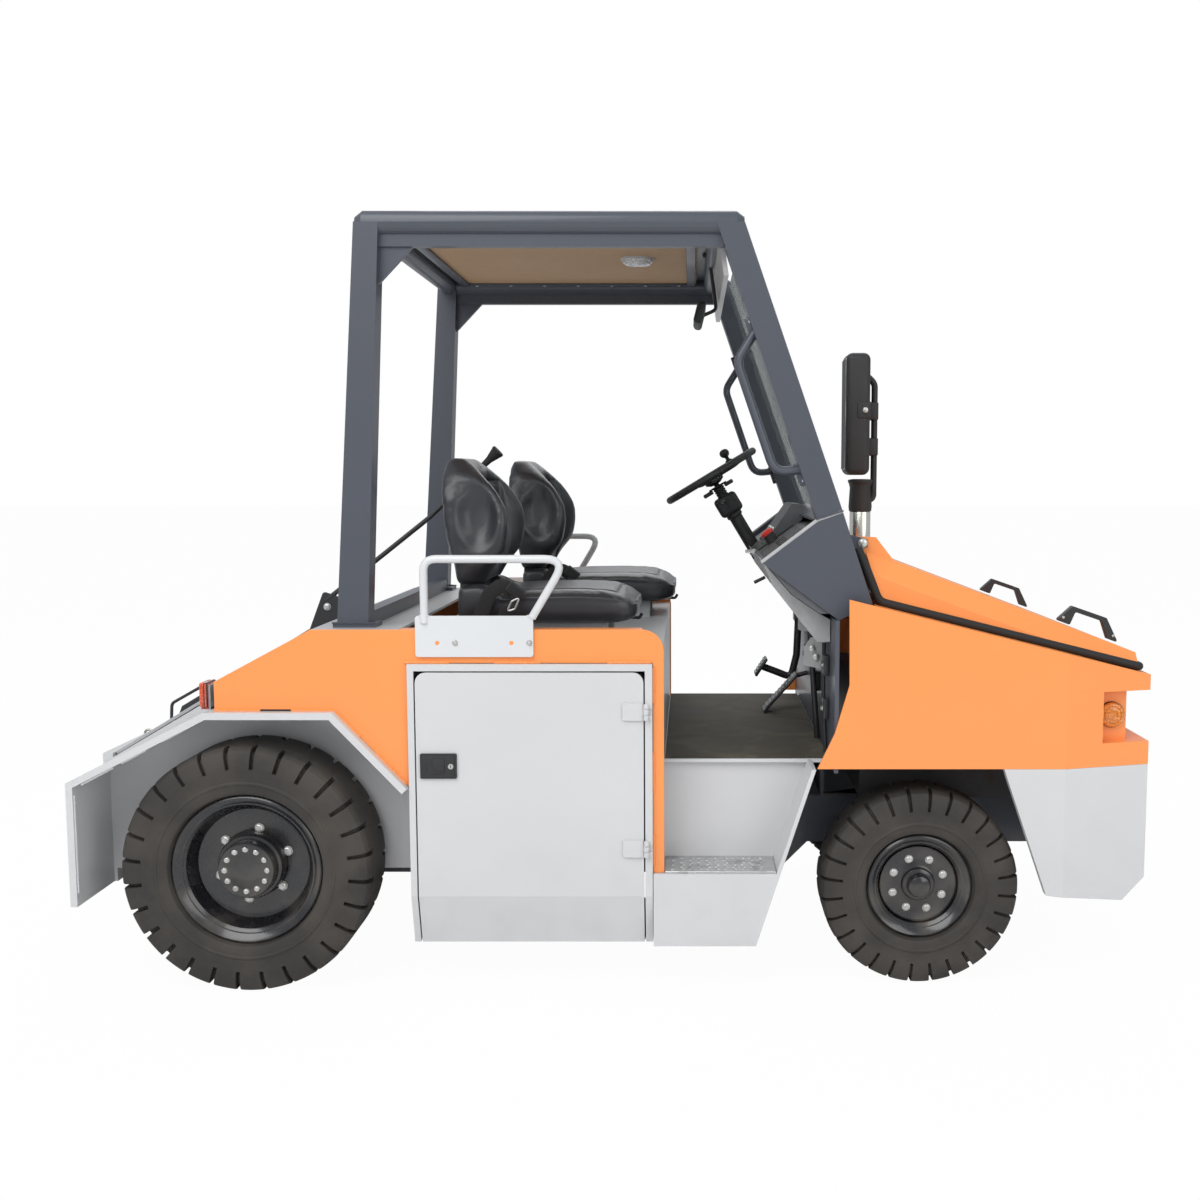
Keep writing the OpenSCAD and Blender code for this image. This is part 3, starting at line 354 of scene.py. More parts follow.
def finish_piece(name, bm, body, finish, replaces=(), smooth=35.0, bevel=0.0):
    """Turns a bmesh into a piece that rides on a body, with one finish or a list of them."""
    bmesh.ops.remove_doubles(bm, verts=bm.verts, dist=1e-6)
    bmesh.ops.recalc_face_normals(bm, faces=bm.faces)
    limit = math.radians(smooth)
    for face in bm.faces:
        face.smooth = True
    for edge in bm.edges:
        edge.smooth = len(edge.link_faces) == 2 and edge.calc_face_angle(0.0) < limit
    mesh = bpy.data.meshes.new(name)
    bm.to_mesh(mesh)
    bm.free()
    return place_piece(name, mesh, body, finish, replaces, bevel)


def add_rounding(piece, name, width, degrees):
    """Rounds the edges that turn by more than an angle, as a modifier."""
    edge = piece.modifiers.new(name, "BEVEL")
    edge.width = width
    edge.segments = 2
    edge.limit_method = "ANGLE"
    edge.angle_limit = math.radians(degrees)
    edge.harden_normals = True


def place_piece(name, mesh, body, finish, replaces=(), bevel=0.0):
    """Adds a mesh as a piece on a body, with its finishes, and hides the nodes it replaces."""
    piece = bpy.data.objects.new(name, mesh)
    bpy.context.scene.collection.objects.link(piece)
    finishes = [finish] if isinstance(finish, str) else finish
    for key in finishes:
        mesh.materials.append(FINISHES[key])
    if bevel:
        add_rounding(piece, "rounding", bevel, 35)
    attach(piece, body)
    if replaces:
        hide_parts(*replaces)
    return piece


def color_faces(verts, index):
    """Gives all faces at some vertices one finish."""
    for face in {f for v in verts for f in v.link_faces}:
        face.material_index = index


def add_box(bm, low, high, bevel=0.0, segments=2, index=0):
    """A block between two corners, with rounded edges."""
    low, high = Vector(low), Vector(high)
    made = bmesh.ops.create_cube(bm, size=1.0)["verts"]
    bmesh.ops.scale(bm, vec=high - low, verts=made)
    bmesh.ops.translate(bm, vec=(low + high) / 2, verts=made)
    faces = {f for v in made for f in v.link_faces}
    if bevel:
        edges = list({e for v in made for e in v.link_edges})
        faces |= set(bmesh.ops.bevel(
            bm, geom=edges, offset=bevel, affect="EDGES", segments=segments, profile=0.5, material=-1
        )["faces"])
    for face in faces:
        if face.is_valid:
            face.material_index = index
    return list({v for f in faces if f.is_valid for v in f.verts})


def add_lathe(bm, profile, centre, steps=72, index=0, closed=False, axis="Y"):
    """Turns a profile of (radius, height) about a line through a centre."""
    centre = Vector(centre)
    up, out = {"X": ((1, 0, 0), (0, 1, 0)), "Y": ((0, 1, 0), (1, 0, 0)), "Z": ((0, 0, 1), (1, 0, 0))}[axis]
    verts = [bm.verts.new(centre + Vector(out) * r + Vector(up) * h) for r, h in profile]
    pairs = list(zip(verts, verts[1:])) + ([(verts[-1], verts[0])] if closed else [])
    edges = [bm.edges.new(pair) for pair in pairs]
    before = set(bm.faces)
    bmesh.ops.spin(
        bm, geom=verts + edges, cent=centre, axis=up, angle=2 * math.pi, steps=steps, use_merge=True
    )
    made = [f for f in bm.faces if f not in before]
    for face in made:
        face.material_index = index
    return made


def frame_along(axis):
    return Vector(axis).normalized().to_track_quat("Z", "Y").to_matrix().to_4x4()


def add_cone(bm, centre, axis, r1, r2, height, segments=24, index=0, caps=True):
    """A cone or cylinder that stands on a centre along an axis."""
    matrix = Matrix.Translation(centre) @ frame_along(axis) @ Matrix.Translation((0, 0, height / 2))
    made = bmesh.ops.create_cone(
        bm, cap_ends=caps, segments=segments, radius1=r1, radius2=r2, depth=height, matrix=matrix
    )["verts"]
    color_faces(made, index)
    return made


def add_bolt(bm, centre, axis, size, index=0, washer=True):
    """A hexagon head with a chamfered top on a washer."""
    centre, axis = Vector(centre), Vector(axis).normalized()
    if washer:
        add_cone(bm, centre, axis, size * 1.15, size * 1.15, size * 0.16, 20, index)
        centre = centre + axis * size * 0.16
    add_cone(bm, centre, axis, size, size, size * 0.55, 6, index)
    add_cone(bm, centre + axis * size * 0.55, axis, size * 0.92, size * 0.74, size * 0.12, 18, index)


def rounded_path(points, bend, steps=6):
    """Points of a bent bar with true arcs at its corners."""
    points = [Vector(p) for p in points]
    path = [points[0]]
    for before, here, after in zip(points, points[1:], points[2:]):
        u, v = (here - before).normalized(), (after - here).normalized()
        turn = u.angle(v)
        if turn < 1e-3:
            path.append(here)
            continue
        back = min(bend * math.tan(turn / 2), (here - before).length * 0.48, (after - here).length * 0.48)
        start, end = here - u * back, here + v * back
        for i in range(steps + 1):
            t = i / steps
            path.append(start.lerp(here, t).lerp(here.lerp(end, t), t))
    path.append(points[-1])
    return path


def add_tube(bm, points, radius, bend=0.0, sides=14, index=0, flat=None):
    """A bar swept along points: rings of vertices joined by bridged loops, with closed ends."""
    path = rounded_path(points, bend) if bend else [Vector(p) for p in points]
    rings = []
    normal = None
    for i, here in enumerate(path):
        ahead = (path[min(i + 1, len(path) - 1)] - path[max(i - 1, 0)]).normalized()
        if normal is None:
            normal = ahead.orthogonal().normalized() if flat is None else Vector(flat).normalized()
        normal = (normal - ahead * normal.dot(ahead)).normalized()
        other = ahead.cross(normal)
        size = radius if isinstance(radius, tuple) else (radius, radius)
        ends = (0, len(path) - 1)
        ring = bmesh.ops.create_circle(bm, cap_ends=i in ends, segments=sides, radius=1.0)["verts"]
        matrix = Matrix((
            (normal.x * size[0], other.x * size[1], ahead.x, here.x),
            (normal.y * size[0], other.y * size[1], ahead.y, here.y),
            (normal.z * size[0], other.z * size[1], ahead.z, here.z),
            (0, 0, 0, 1),
        ))
        bmesh.ops.transform(bm, matrix=matrix, verts=ring)
        rings.append(ring)
    for first, second in zip(rings, rings[1:]):
        edges = [e for ring in (first, second) for v in ring for e in v.link_edges
                 if e.verts[0] in ring and e.verts[1] in ring]
        for face in bmesh.ops.bridge_loops(bm, edges=list(set(edges)))["faces"]:
            face.material_index = index
    color_faces(rings[0] + rings[-1], index)


def add_bead(bm, start, end, size, seed, index=0):
    """A weld bead: overlapping flattened drops along a line."""
    rng = random.Random(seed)
    start, end = Vector(start), Vector(end)
    count = max(2, int((end - start).length / (size * 0.8)))
    for i in range(count + 1):
        spot = start.lerp(end, i / count)
        drop = bmesh.ops.create_icosphere(bm, subdivisions=1, radius=size * rng.uniform(0.8, 1.1))["verts"]
        bmesh.ops.translate(bm, vec=spot, verts=drop)
        color_faces(drop, index)


def of_type(geom, kind):
    return [g for g in geom if isinstance(g, kind)]


def duplicated(bm):
    """Copies the whole mesh in place and gives the copy's vertices and faces."""
    copy = bmesh.ops.duplicate(bm, geom=bm.verts[:] + bm.edges[:] + bm.faces[:])["geom"]
    return of_type(copy, bmesh.types.BMVert), of_type(copy, bmesh.types.BMFace)


def mirrored(bm):
    """Adds the mirror image across the vehicle's middle plane."""
    verts, faces = duplicated(bm)
    bmesh.ops.scale(bm, vec=(1, -1, 1), verts=verts)
    bmesh.ops.reverse_faces(bm, faces=faces)


# Properties


class TractorColors(bpy.types.PropertyGroup):
    """Colours that a user would change, as linear values."""

    def _color(name, words, value):
        return bpy.props.FloatVectorProperty(
            name=name, description=words, subtype="COLOR", size=3, min=0.0, max=1.0, default=value
        )

    orange: _color("Orange", "Enamel of the hood and side panels", (0.92, 0.30, 0.075))
    silver: _color("Silver", "Enamel of the fenders, boxes and bumper", (0.60, 0.60, 0.605))
    frame_grey: _color("Frame grey", "Enamel of the cab frame and chassis", (0.060, 0.067, 0.086))
    deck_grey: _color("Deck grey", "Enamel of the rear deck and seat pedestal", (0.40, 0.41, 0.42))
    tube: _color("Tube", "Enamel of the armrest tubes", (0.66, 0.67, 0.68))
    mat: _color("Mat", "Rubber mat on the cab floor", (0.052, 0.046, 0.034))
    tyre: _color("Tyre", "Tyre rubber", (0.035, 0.0315, 0.029))
    # The vinyl's colour is tinted blue as painted sheen, standing in for the blue-grey shine on the covers.
    vinyl: _color("Vinyl", "Seat covers", (0.0165, 0.0175, 0.0215))
    board: _color("Board", "Roof liner", (0.40, 0.25, 0.13))


class TractorSizes(bpy.types.PropertyGroup):
    """Sizes of the fittings that the scene adds."""

    def _length(name, words, value):
        return bpy.props.FloatProperty(name=name, description=words, default=value, min=0.0, unit="LENGTH")

    tube_edge: _length("Tube edge", "Rounding of the cab's tubes", 0.006)
    edge: _length("Edge", "Rounding of sheet metal edges", 0.002)
    groove: _length("Groove", "Depth of the tyre's lug cuts", 0.017)
    voxel: _length("Voxel", "Grid of the seat covers before they are inflated", 0.008)
    swell: _length("Swell", "Most that a seat cover swells", 0.007)


def sizes():
    return bpy.context.scene.tractor_sizes


class Maker(bpy.types.Operator):
    """Base of the operators: runs build and always reports an end."""

    def execute(self, context):
        self.build(context)
        return {"FINISHED"}


# Stage


class TRACTOR_OT_stage(Maker):
    """Floor, studio light and the photograph's camera"""

    bl_idname = "tractor.stage"
    bl_label = "Stage"

    def build(self, context):
        scene = context.scene
        scene.view_settings.view_transform = "Standard"
        bm = bmesh.new()
        bmesh.ops.create_grid(bm, x_segments=1, y_segments=1, size=60.0)
        mesh = bpy.data.meshes.new("floor")
        bm.to_mesh(mesh)
        bm.free()
        floor = bpy.data.objects.new("floor", mesh)
        scene.collection.objects.link(floor)
        mesh.materials.append(self.floor_material())
        self.world(scene)
        self.lamp(scene, "key", (-2.5, -4.5, 6.0), 5.0, 330.0)
        self.lamp(scene, "fill", (4.5, -5.0, 3.5), 4.0, 120.0)
        self.lamp(scene, "back", (0.5, 5.0, 5.5), 5.0, 160.0)
        camera = bpy.data.objects.new("camera", bpy.data.cameras.new("camera"))
        scene.collection.objects.link(camera)
        camera.data.sensor_width = 36.0
        camera.data.lens = 38.52
        camera.data.shift_x = -0.075
        camera.location = (0.287, -4.300, 1.488)
        camera.rotation_euler = (math.radians(84.5), 0.0, 0.0)
        camera.data.clip_end = 200.0
        scene.camera = camera

    def floor_material(self):
        material = bpy.data.materials.new("floor_white")
        material.use_nodes = True
        nodes, links = material.node_tree.nodes, material.node_tree.links
        nodes.clear()
        diffuse = nodes.new("ShaderNodeBsdfDiffuse")
        diffuse.inputs["Color"].default_value = (0.86, 0.86, 0.86, 1.0)
        glow = nodes.new("ShaderNodeEmission")
        path = nodes.new("ShaderNodeLightPath")
        part = nodes.new("ShaderNodeMath")
        part.operation = "MULTIPLY"
        part.inputs[1].default_value = 0.97
        links.new(path.outputs["Is Camera Ray"], part.inputs[0])
        mix = nodes.new("ShaderNodeMixShader")
        links.new(part.outputs[0], mix.inputs[0])
        links.new(diffuse.outputs[0], mix.inputs[1])
        links.new(glow.outputs[0], mix.inputs[2])
        out = nodes.new("ShaderNodeOutputMaterial")
        links.new(mix.outputs[0], out.inputs["Surface"])
        return material

    def world(self, scene):
        world = bpy.data.worlds.new("studio")
        scene.world = world
        world.use_nodes = True
        nodes, links = world.node_tree.nodes, world.node_tree.links
        nodes.clear()
        path = nodes.new("ShaderNodeLightPath")
        clear = nodes.new("ShaderNodeMath")
        clear.operation = "MAXIMUM"
        links.new(path.outputs["Is Camera Ray"], clear.inputs[0])
        links.new(path.outputs["Is Transmission Ray"], clear.inputs[1])
        soft = nodes.new("ShaderNodeBackground")
        soft.inputs["Color"].default_value = (0.93, 0.96, 1.0, 1.0)
        soft.inputs["Strength"].default_value = 0.55
        white = nodes.new("ShaderNodeBackground")
        white.inputs["Color"].default_value = (1.0, 1.0, 1.0, 1.0)
        mix = nodes.new("ShaderNodeMixShader")
        links.new(clear.outputs[0], mix.inputs[0])
        links.new(soft.outputs[0], mix.inputs[1])
        links.new(white.outputs[0], mix.inputs[2])
        out = nodes.new("ShaderNodeOutputWorld")
        links.new(mix.outputs[0], out.inputs["Surface"])

    def lamp(self, scene, name, place, size, power):
        data = bpy.data.lights.new(name, "AREA")
        data.size = size
        data.energy = power
        lamp = bpy.data.objects.new(name, data)
        scene.collection.objects.link(lamp)
        lamp.location = place
        lamp.rotation_euler = (Vector((0, 0, 0.9)) - Vector(place)).to_track_quat("-Z", "Y").to_euler()


# Body finishes


class TRACTOR_OT_finishes(Maker):
    """Finishes and rounded edges of the solids that stay"""

    bl_idname = "tractor.finishes"
    bl_label = "Finishes"

    def build(self, context):
        make_finishes(context.scene.tractor_colors)
        slots = {row["node"]: row["material_slot"] for row in frame["record"]["subparts"]}
        for node, solid in frame["nodes"].items():
            solid.data.materials.clear()
            solid.data.materials.append(FINISHES[slots[node]])
            self.soften(solid, sizes().tube_edge if node == "cab_frame" else sizes().edge)

    def soften(self, solid, width):
        """Joins the loose triangles and rounds the sharp edges, as modifiers."""
        weld = solid.modifiers.new("weld", "WELD")
        weld.merge_threshold = 0.00002
        flat = solid.modifiers.new("flat", "DECIMATE")
        flat.decimate_type = "DISSOLVE"
        flat.angle_limit = math.radians(0.5)
        add_rounding(solid, "edge", width, 30)


# Wheels


def wheel_place(end, side):
    """Centre of a wheel and the way it faces."""
    low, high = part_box(f"tyre_{end}_{side}")
    return (Vector(low) + Vector(high)) / 2, SIDES[side], (high[2] - low[2]) / 2, (high[1] - low[1]) / 2


class TRACTOR_OT_tyres(Maker):
    """Solid tyres with cut lugs on both shoulders"""

    bl_idname = "tractor.tyres"
    bl_label = "Tyres"

    LUGS = 28
    COLUMNS = 6

    def build(self, context):
        for end, seat in (("rear", 0.1903), ("front", 0.1273)):
            for side in SIDES:
                self.tyre(end, side, seat)

    def tyre(self, end, side, seat):
        centre, out, top, half = wheel_place(end, side)
        shoulder = top - 0.058
        mid = (seat + 0.034 + shoulder) / 2
        outer = [
            (seat, half - 0.034), (seat + 0.026, half - 0.030), (seat + 0.034, half - 0.010),
            (seat + 0.041, half - 0.006), (mid - 0.012, half - 0.003), (mid - 0.009, half - 0.0005),
            (mid - 0.004, half - 0.0005), (mid - 0.001, half - 0.003), (shoulder - 0.010, half - 0.002),
            (shoulder - 0.004, half), (shoulder + 0.016, half - 0.001), (top - 0.024, half - 0.004),
            (top - 0.010, half - 0.010), (top - 0.003, half - 0.019), (top, half - 0.030),
            (top, half - 0.062),
        ]
        profile = outer + [(top, 0.0)] + [(r, -y) for r, y in reversed(outer)]
        steps = self.LUGS * self.COLUMNS
        bm = bmesh.new()
        faces = add_lathe(bm, profile, centre, steps, closed=True)
        bm.normal_update()
        cuts = [f for f in faces if self.in_cut(f, centre, shoulder, top, half, steps)]
        bmesh.ops.recalc_face_normals(bm, faces=bm.faces)
        bmesh.ops.inset_region(
            bm, faces=cuts, thickness=0.0012, depth=-sizes().groove * top / 0.36, use_boundary=True,
            use_even_offset=True,
        )
        name = f"tyre_{end}_{side}"
        finish_piece(
            f"{name}_rubber", bm, f"wheel_{end}_{side}", "tyre_rubber", (name,), 28.0, 0.0015
        )

    def in_cut(self, face, centre, shoulder, top, half, steps):
        spot = face.calc_center_median() - centre
        radius = math.hypot(spot.x, spot.z)
        if radius < shoulder - 0.002 or abs(spot.y) < half - 0.060:
            return False
        column = int(round(math.atan2(spot.z, spot.x) / (2 * math.pi) * steps - 0.5)) % self.COLUMNS
        return column == (0 if spot.y > 0 else self.COLUMNS // 2)


class TRACTOR_OT_rims(Maker):
    """Dished wheels with hubs, nuts and studs"""

    bl_idname = "tractor.rims"
    bl_label = "Rims"

    def build(self, context):
        for side in SIDES:
            self.rear(side)
            self.front(side)

    def ring(self, bm, centre, out, radius, depth, count, size, turn=0.0):
        for i in range(count):
            a = 2 * math.pi * i / count + turn
            spot = centre + Vector((radius * math.cos(a), out * depth, radius * math.sin(a)))
            add_bolt(bm, spot, (0, out, 0), size, 1)
            add_cone(bm, spot, (0, out, 0), size * 0.42, size * 0.38, size * 1.0, 12, 1)

    def barrel(self, seat, flange, lip):
        """Outer half of the rim's section, from the flange inwards to the disc."""
        return [
            (seat, lip - 0.001), (flange - 0.004, lip - 0.001), (flange, lip + 0.003),
            (flange - 0.001, lip + 0.009), (flange - 0.006, lip + 0.012), (flange - 0.012, lip + 0.009),
            (seat + 0.002, lip - 0.002),
            (seat - 0.008, lip - 0.012), (seat - 0.012, lip - 0.030),
        ]

    def rear(self, side):
        disc = [
            (0.166, 0.034), (0.163, 0.024), (0.150, 0.0205), (0.100, 0.020), (0.097, 0.024), (0.0965, 0.052),
            (0.092, 0.060), (0.084, 0.062), (0.082, 0.066), (0.082, 0.090), (0.079, 0.0945), (0.070, 0.096),
            (0.050, 0.0945), (0.044, 0.0915), (0.020, 0.0905), (0.006, 0.0905), (0.0, 0.0905),
        ]
        inner = [(0.0, 0.004), (0.150, 0.004), (0.166, 0.0), (0.176, -0.030)]
        self.turn("rear", side, (0.190, 0.218, 0.0803), disc + inner, (0.106, 0.0205, 6, 0.0125))

    def front(self, side):
        disc = [
            (0.113, 0.040), (0.110, 0.035), (0.096, 0.0342), (0.056, 0.034), (0.050, 0.037), (0.046, 0.046),
            (0.040, 0.049), (0.036, 0.050), (0.0345, 0.060), (0.030, 0.069), (0.020, 0.0745), (0.009, 0.076),
            (0.0, 0.076),
        ]
        inner = [(0.0, 0.019), (0.096, 0.019), (0.108, 0.012), (0.114, -0.012)]
        self.turn("front", side, (0.127, 0.153, 0.0553), disc + inner, (0.0785, 0.0342, 8, 0.0105))

    def turn(self, end, side, barrel, middle, nuts):
        """Lathes a wheel from its barrel's sizes and its disc, and sets the ring of nuts."""
        centre, out, _, _ = wheel_place(end, side)
        outer = self.barrel(*barrel)
        back = [(r, -y) for r, y in reversed(outer)]
        bm = bmesh.new()
        profile = [(r, out * y) for r, y in outer + middle + back[:-1]]
        add_lathe(bm, profile, centre, 96, closed=True)
        self.ring(bm, centre, out, *nuts, 0.35)
        if end == "rear":
            self.ring(bm, centre, out, 0.062, 0.0945, 12, 0.0075)
        name = f"rim_{end}_{side}"
        finish_piece(
            f"{name}_wheel", bm, f"wheel_{end}_{side}", ["rim_paint", "zinc"], (name,), 32.0
        )


# Seats


def along(points, value):
    """Reads a value off a line through points, level beyond its ends."""
    for (low, first), (high, second) in zip(points, points[1:]):
        if value <= high:
            return first + (second - first) * max(0.0, (value - low) / (high - low))
    return points[-1][1]


def ease(value, low, high):
    t = min(1.0, max(0.0, (value - low) / (high - low)))
    return t * t * (3.0 - 2.0 * t)


def dip(distance, width):
    """A soft trough that is 1 on a line and 0 away from it."""
    return math.exp(-((distance / width) ** 2))


def mapped_cube(cuts, place):
    """A finely cut cube whose points, from -1 to 1 each way, are carried to their places and smoothed."""
    bm = bmesh.new()
    bmesh.ops.create_cube(bm, size=2.0)
    bmesh.ops.subdivide_edges(bm, edges=bm.edges, cuts=cuts, use_grid_fill=True)
    for vert in bm.verts:
        vert.co = place(*vert.co)
    for _ in range(4):
        bmesh.ops.smooth_vert(
            bm, verts=bm.verts, factor=0.5, use_axis_x=True, use_axis_y=True, use_axis_z=True
        )
    bmesh.ops.recalc_face_normals(bm, faces=bm.faces)
    return bm


def evaluated_mesh(piece):
    return bpy.data.meshes.new_from_object(piece.evaluated_get(bpy.context.evaluated_depsgraph_get()))


def swollen_cover(name, bm):
    """Remeshes a closed form and swells it as cloth under pressure, no further than the cap."""
    scene = bpy.context.scene
    mesh = bpy.data.meshes.new(name)
    bm.to_mesh(mesh)
    bm.free()
    form = bpy.data.objects.new(name, mesh)
    scene.collection.objects.link(form)
    grid = form.modifiers.new("grid", "REMESH")
    grid.mode = "VOXEL"
    grid.voxel_size = sizes().voxel
    form.data = evaluated_mesh(form)
    form.modifiers.clear()
    cloth = form.modifiers.new("cloth", "CLOTH")
    cloth.settings.use_pressure = True
    cloth.settings.uniform_pressure_force = 4.0
    cloth.settings.effector_weights.gravity = 0.0
    for step in range(1, 21):
        scene.frame_set(step)
    full = evaluated_mesh(form)
    scene.frame_set(1)
    form.modifiers.clear()
    for vert, moved in zip(form.data.vertices, full.vertices):
        way = moved.co - vert.co
        vert.co += way * min(1.0, sizes().swell / max(way.length, 1e-9))
    finer = form.modifiers.new("finer", "SUBSURF")
    finer.levels = finer.render_levels = 1
    cover = evaluated_mesh(form)
    bpy.data.objects.remove(form)
    return cover


def sewn(mesh, depth_at):
    """Moves each point along its normal by the depth of the seams there."""
    depths = [(depth_at(vert.co, vert.normal), vert.normal.copy()) for vert in mesh.vertices]
    for vert, (depth, normal) in zip(mesh.vertices, depths):
        vert.co += normal * depth
    mesh.shade_smooth()


class TRACTOR_OT_seats(Maker):
    """Two bucket seats: crowned cushions and winged backs"""

    bl_idname = "tractor.seats"
    bl_label = "Seats"

    BACK_Z = (1.165, 1.549)
    SPINE = [
        (1.165, -0.398), (1.224, -0.404), (1.276, -0.420), (1.401, -0.434), (1.520, -0.443), (1.549, -0.432),
    ]
    PAD = [
        (1.165, -0.322), (1.240, -0.334), (1.360, -0.352), (1.470, -0.376), (1.505, -0.352), (1.549, -0.386),
    ]
    WING = [
        (1.165, -0.318), (1.190, -0.306), (1.220, -0.286), (1.250, -0.262), (1.287, -0.248), (1.339, -0.242),
        (1.391, -0.247), (1.458, -0.284), (1.515, -0.340), (1.549, -0.386),
    ]
    BACK_HALF = [
        (1.165, 0.196), (1.250, 0.226), (1.340, 0.234), (1.430, 0.222), (1.500, 0.186), (1.549, 0.124),
    ]
    POCKET = (-0.333, 1.372)
    CUSHION_X = (-0.404, 0.137)
    CUSHION_TOP = [(-0.404, 1.126), (-0.200, 1.144), (-0.020, 1.146), (0.090, 1.138), (0.137, 1.118)]
    CUSHION_HALF = [(-0.404, 0.222), (-0.200, 0.230), (0.040, 0.230), (0.110, 0.214), (0.137, 0.190)]
    CUSHION_LOW = 1.060
    SEAT_Y = 0.330
    SLIDE = 0.105

    def build(self, context):
        cushion = swollen_cover("cushion", mapped_cube(22, self.cushion_point))
        sewn(cushion, self.cushion_seams)
        back = swollen_cover("back", mapped_cube(26, self.back_point))
        sewn(back, self.back_seams)
        for side, out in SIDES.items():
            slide = self.SLIDE if out > 0 else 0.0
            for name, mesh in (("cushion", cushion), ("back", back)):
                copy = mesh.copy()
                copy.transform(Matrix.Translation((slide, out * self.SEAT_Y, 0.0)))
                cover = place_piece(
                    f"seat_{name}_{side}", copy, "chassis", "seat_vinyl", (f"seat_{name}s",)
                )

    def back_point(self, c, a, b):
        """A winged shell: a pad between two rims that stand forward, each with a pocket in its side."""
        low, high = self.BACK_Z
        z = low + (high - low) * (b + 1) / 2
        spine, pad, wing = along(self.SPINE, z), along(self.PAD, z), along(self.WING, z)
        front = pad + (wing - pad) * ease(abs(a), 0.54, 0.74)
        front -= 0.020 * max(0.0, (abs(a) - 0.90) / 0.10) ** 2
        x = spine + (front - spine) * (c + 1) / 2
        half = along(self.BACK_HALF, z) * (1.0 - 0.05 * c * c)
        egg = ((x - self.POCKET[0]) / 0.058) ** 2 + ((z - self.POCKET[1]) / 0.092) ** 2
        side = half - 0.050 * ease(abs(a), 0.74, 1.0) * math.exp(-egg ** 2)
        return Vector((x, a * side, z))

    def back_seams(self, spot, normal):
        """Grooves round the pad and two channels across it, on the front only."""
        if normal.x < 0.2:
            return 0.0
        y, z = abs(spot.y), spot.z
        inside = y < 0.128 and z < 1.470
        border = max(dip(y - 0.130, 0.006) * (z < 1.476), dip(z - 1.472, 0.006) * (y < 0.134))
        channels = max(dip(z - 1.270, 0.007), dip(z - 1.370, 0.007)) if inside else 0.0
        return -0.006 * border - 0.004 * channels

    def cushion_point(self, c, a, b):
        """A crowned pad with a rolled nose and hip bolsters at the rear."""
        low, high = self.CUSHION_X
        x = low + (high - low) * (c + 1) / 2
        nose = ease(c, 0.70, 1.0)
        hip = ease(abs(a), 0.52, 0.78) * (1.0 - ease(x, -0.318, -0.284))
        top = along(self.CUSHION_TOP, x) + 0.036 * hip + 0.008 * (1.0 - a * a)
        foot = self.CUSHION_LOW + 0.004 * nose
        z = foot + (top - foot) * (b + 1) / 2
        side = along(self.CUSHION_HALF, x) * (1.0 - 0.035 * b * b)
        return Vector((x - 0.020 * nose * b ** 4, a * side, z))

    def cushion_seams(self, spot, normal):
        """A sewn panel on the top, a piped edge round the sides and creases near the nose."""
        y = abs(spot.y)
        if normal.z > 0.55:
            panel = max(
                dip(y - 0.158, 0.006) * (-0.27 < spot.x < 0.078), dip(spot.x - 0.076, 0.006) * (y < 0.162)
            )
            crease = noise.noise(Vector((spot.x * 42.0, spot.y * 9.0, 3.7)))
            return -0.005 * panel + 0.0022 * crease * ease(spot.x, -0.10, 0.05)
        edge = along(self.CUSHION_TOP, spot.x) - 0.012
        return 0.0035 * dip(spot.z - edge, 0.005) if spot.x > -0.27 else 0.0


# Fittings


def add_slab(bm, points, through, corner=0.0, index=0):
    """A plate: an outline with rounded corners, carried through a vector."""
    outline = [Vector(p) for p in points]
    if corner:
        start = (outline[-1] + outline[0]) / 2
        outline = rounded_path([start, *outline, start], corner)[:-1]
    face = bm.faces.new([bm.verts.new(p) for p in outline])
    made = bmesh.ops.extrude_face_region(bm, geom=[face])["geom"]
    verts = of_type(made, bmesh.types.BMVert)
    bmesh.ops.translate(bm, vec=through, verts=verts)
    color_faces([*verts, *face.verts], index)


def from_side(points, y):
    """Points that are given from the side, in X and Z, set at one Y."""
    return [Vector((x, y, z)) for x, z in points]


def add_side_slab(bm, points, y0, y1, corner=0.0, index=0):
    """A plate whose outline is given from the side."""
    add_slab(bm, from_side(points, y0), (0, y1 - y0, 0), corner, index)


def add_screw(bm, centre, axis, radius, index=0):
    """A pan head with a small raised hexagon on it."""
    centre, axis = Vector(centre), Vector(axis).normalized()
    add_cone(bm, centre, axis, radius, radius * 0.72, radius * 0.5, 20, index)
    add_cone(bm, centre + axis * radius * 0.5, axis, radius * 0.5, radius * 0.3, radius * 0.1, 6, index)


class TRACTOR_OT_armrests(Maker):
    """Bent armrest tubes on their bolted plates"""

    bl_idname = "tractor.armrests"
    bl_label = "Armrests"

    TUBE = [(-0.464, 1.075), (-0.464, 1.2565), (-0.060, 1.2565), (-0.160, 1.090)]
    PLATE_X = (-0.490, -0.156)
    PLATE_Z = (0.979, 1.096)
    DOTS = (-0.428, -0.218)
    SCREWS = (-0.377, -0.167)
    ROW_Z = 1.019
    Y = 0.694

    def build(self, context):
        bm = bmesh.new()
        (x0, x1), (z0, z1), y = self.PLATE_X, self.PLATE_Z, self.Y
        add_tube(bm, from_side(self.TUBE, -y), 0.0115, 0.036, 18)
        add_side_slab(bm, [(x0, z0), (x1, z0), (x1, z1), (x0, z1)], -y + 0.0035, -y - 0.0045, 0.010)
        for x in self.DOTS:
            add_cone(bm, (x, -y - 0.0044, self.ROW_Z), (0, -1, 0), 0.0062, 0.0062, 0.0006, 20, 1)
        for x in self.SCREWS:
            add_screw(bm, (x, -y - 0.0045, self.ROW_Z), (0, -1, 0), 0.0085, 2)
        for x in (self.TUBE[0][0], self.TUBE[3][0]):
            add_bead(bm, (x - 0.012, -y - 0.004, z1), (x + 0.012, -y - 0.004, z1), 0.003, 5)
        mirrored(bm)
        finish_piece(
            "armrest_tubes", bm, "chassis", ["bright_tube", "orange_paint", "zinc"],
            ("armrests",), bevel=0.0012,
        )


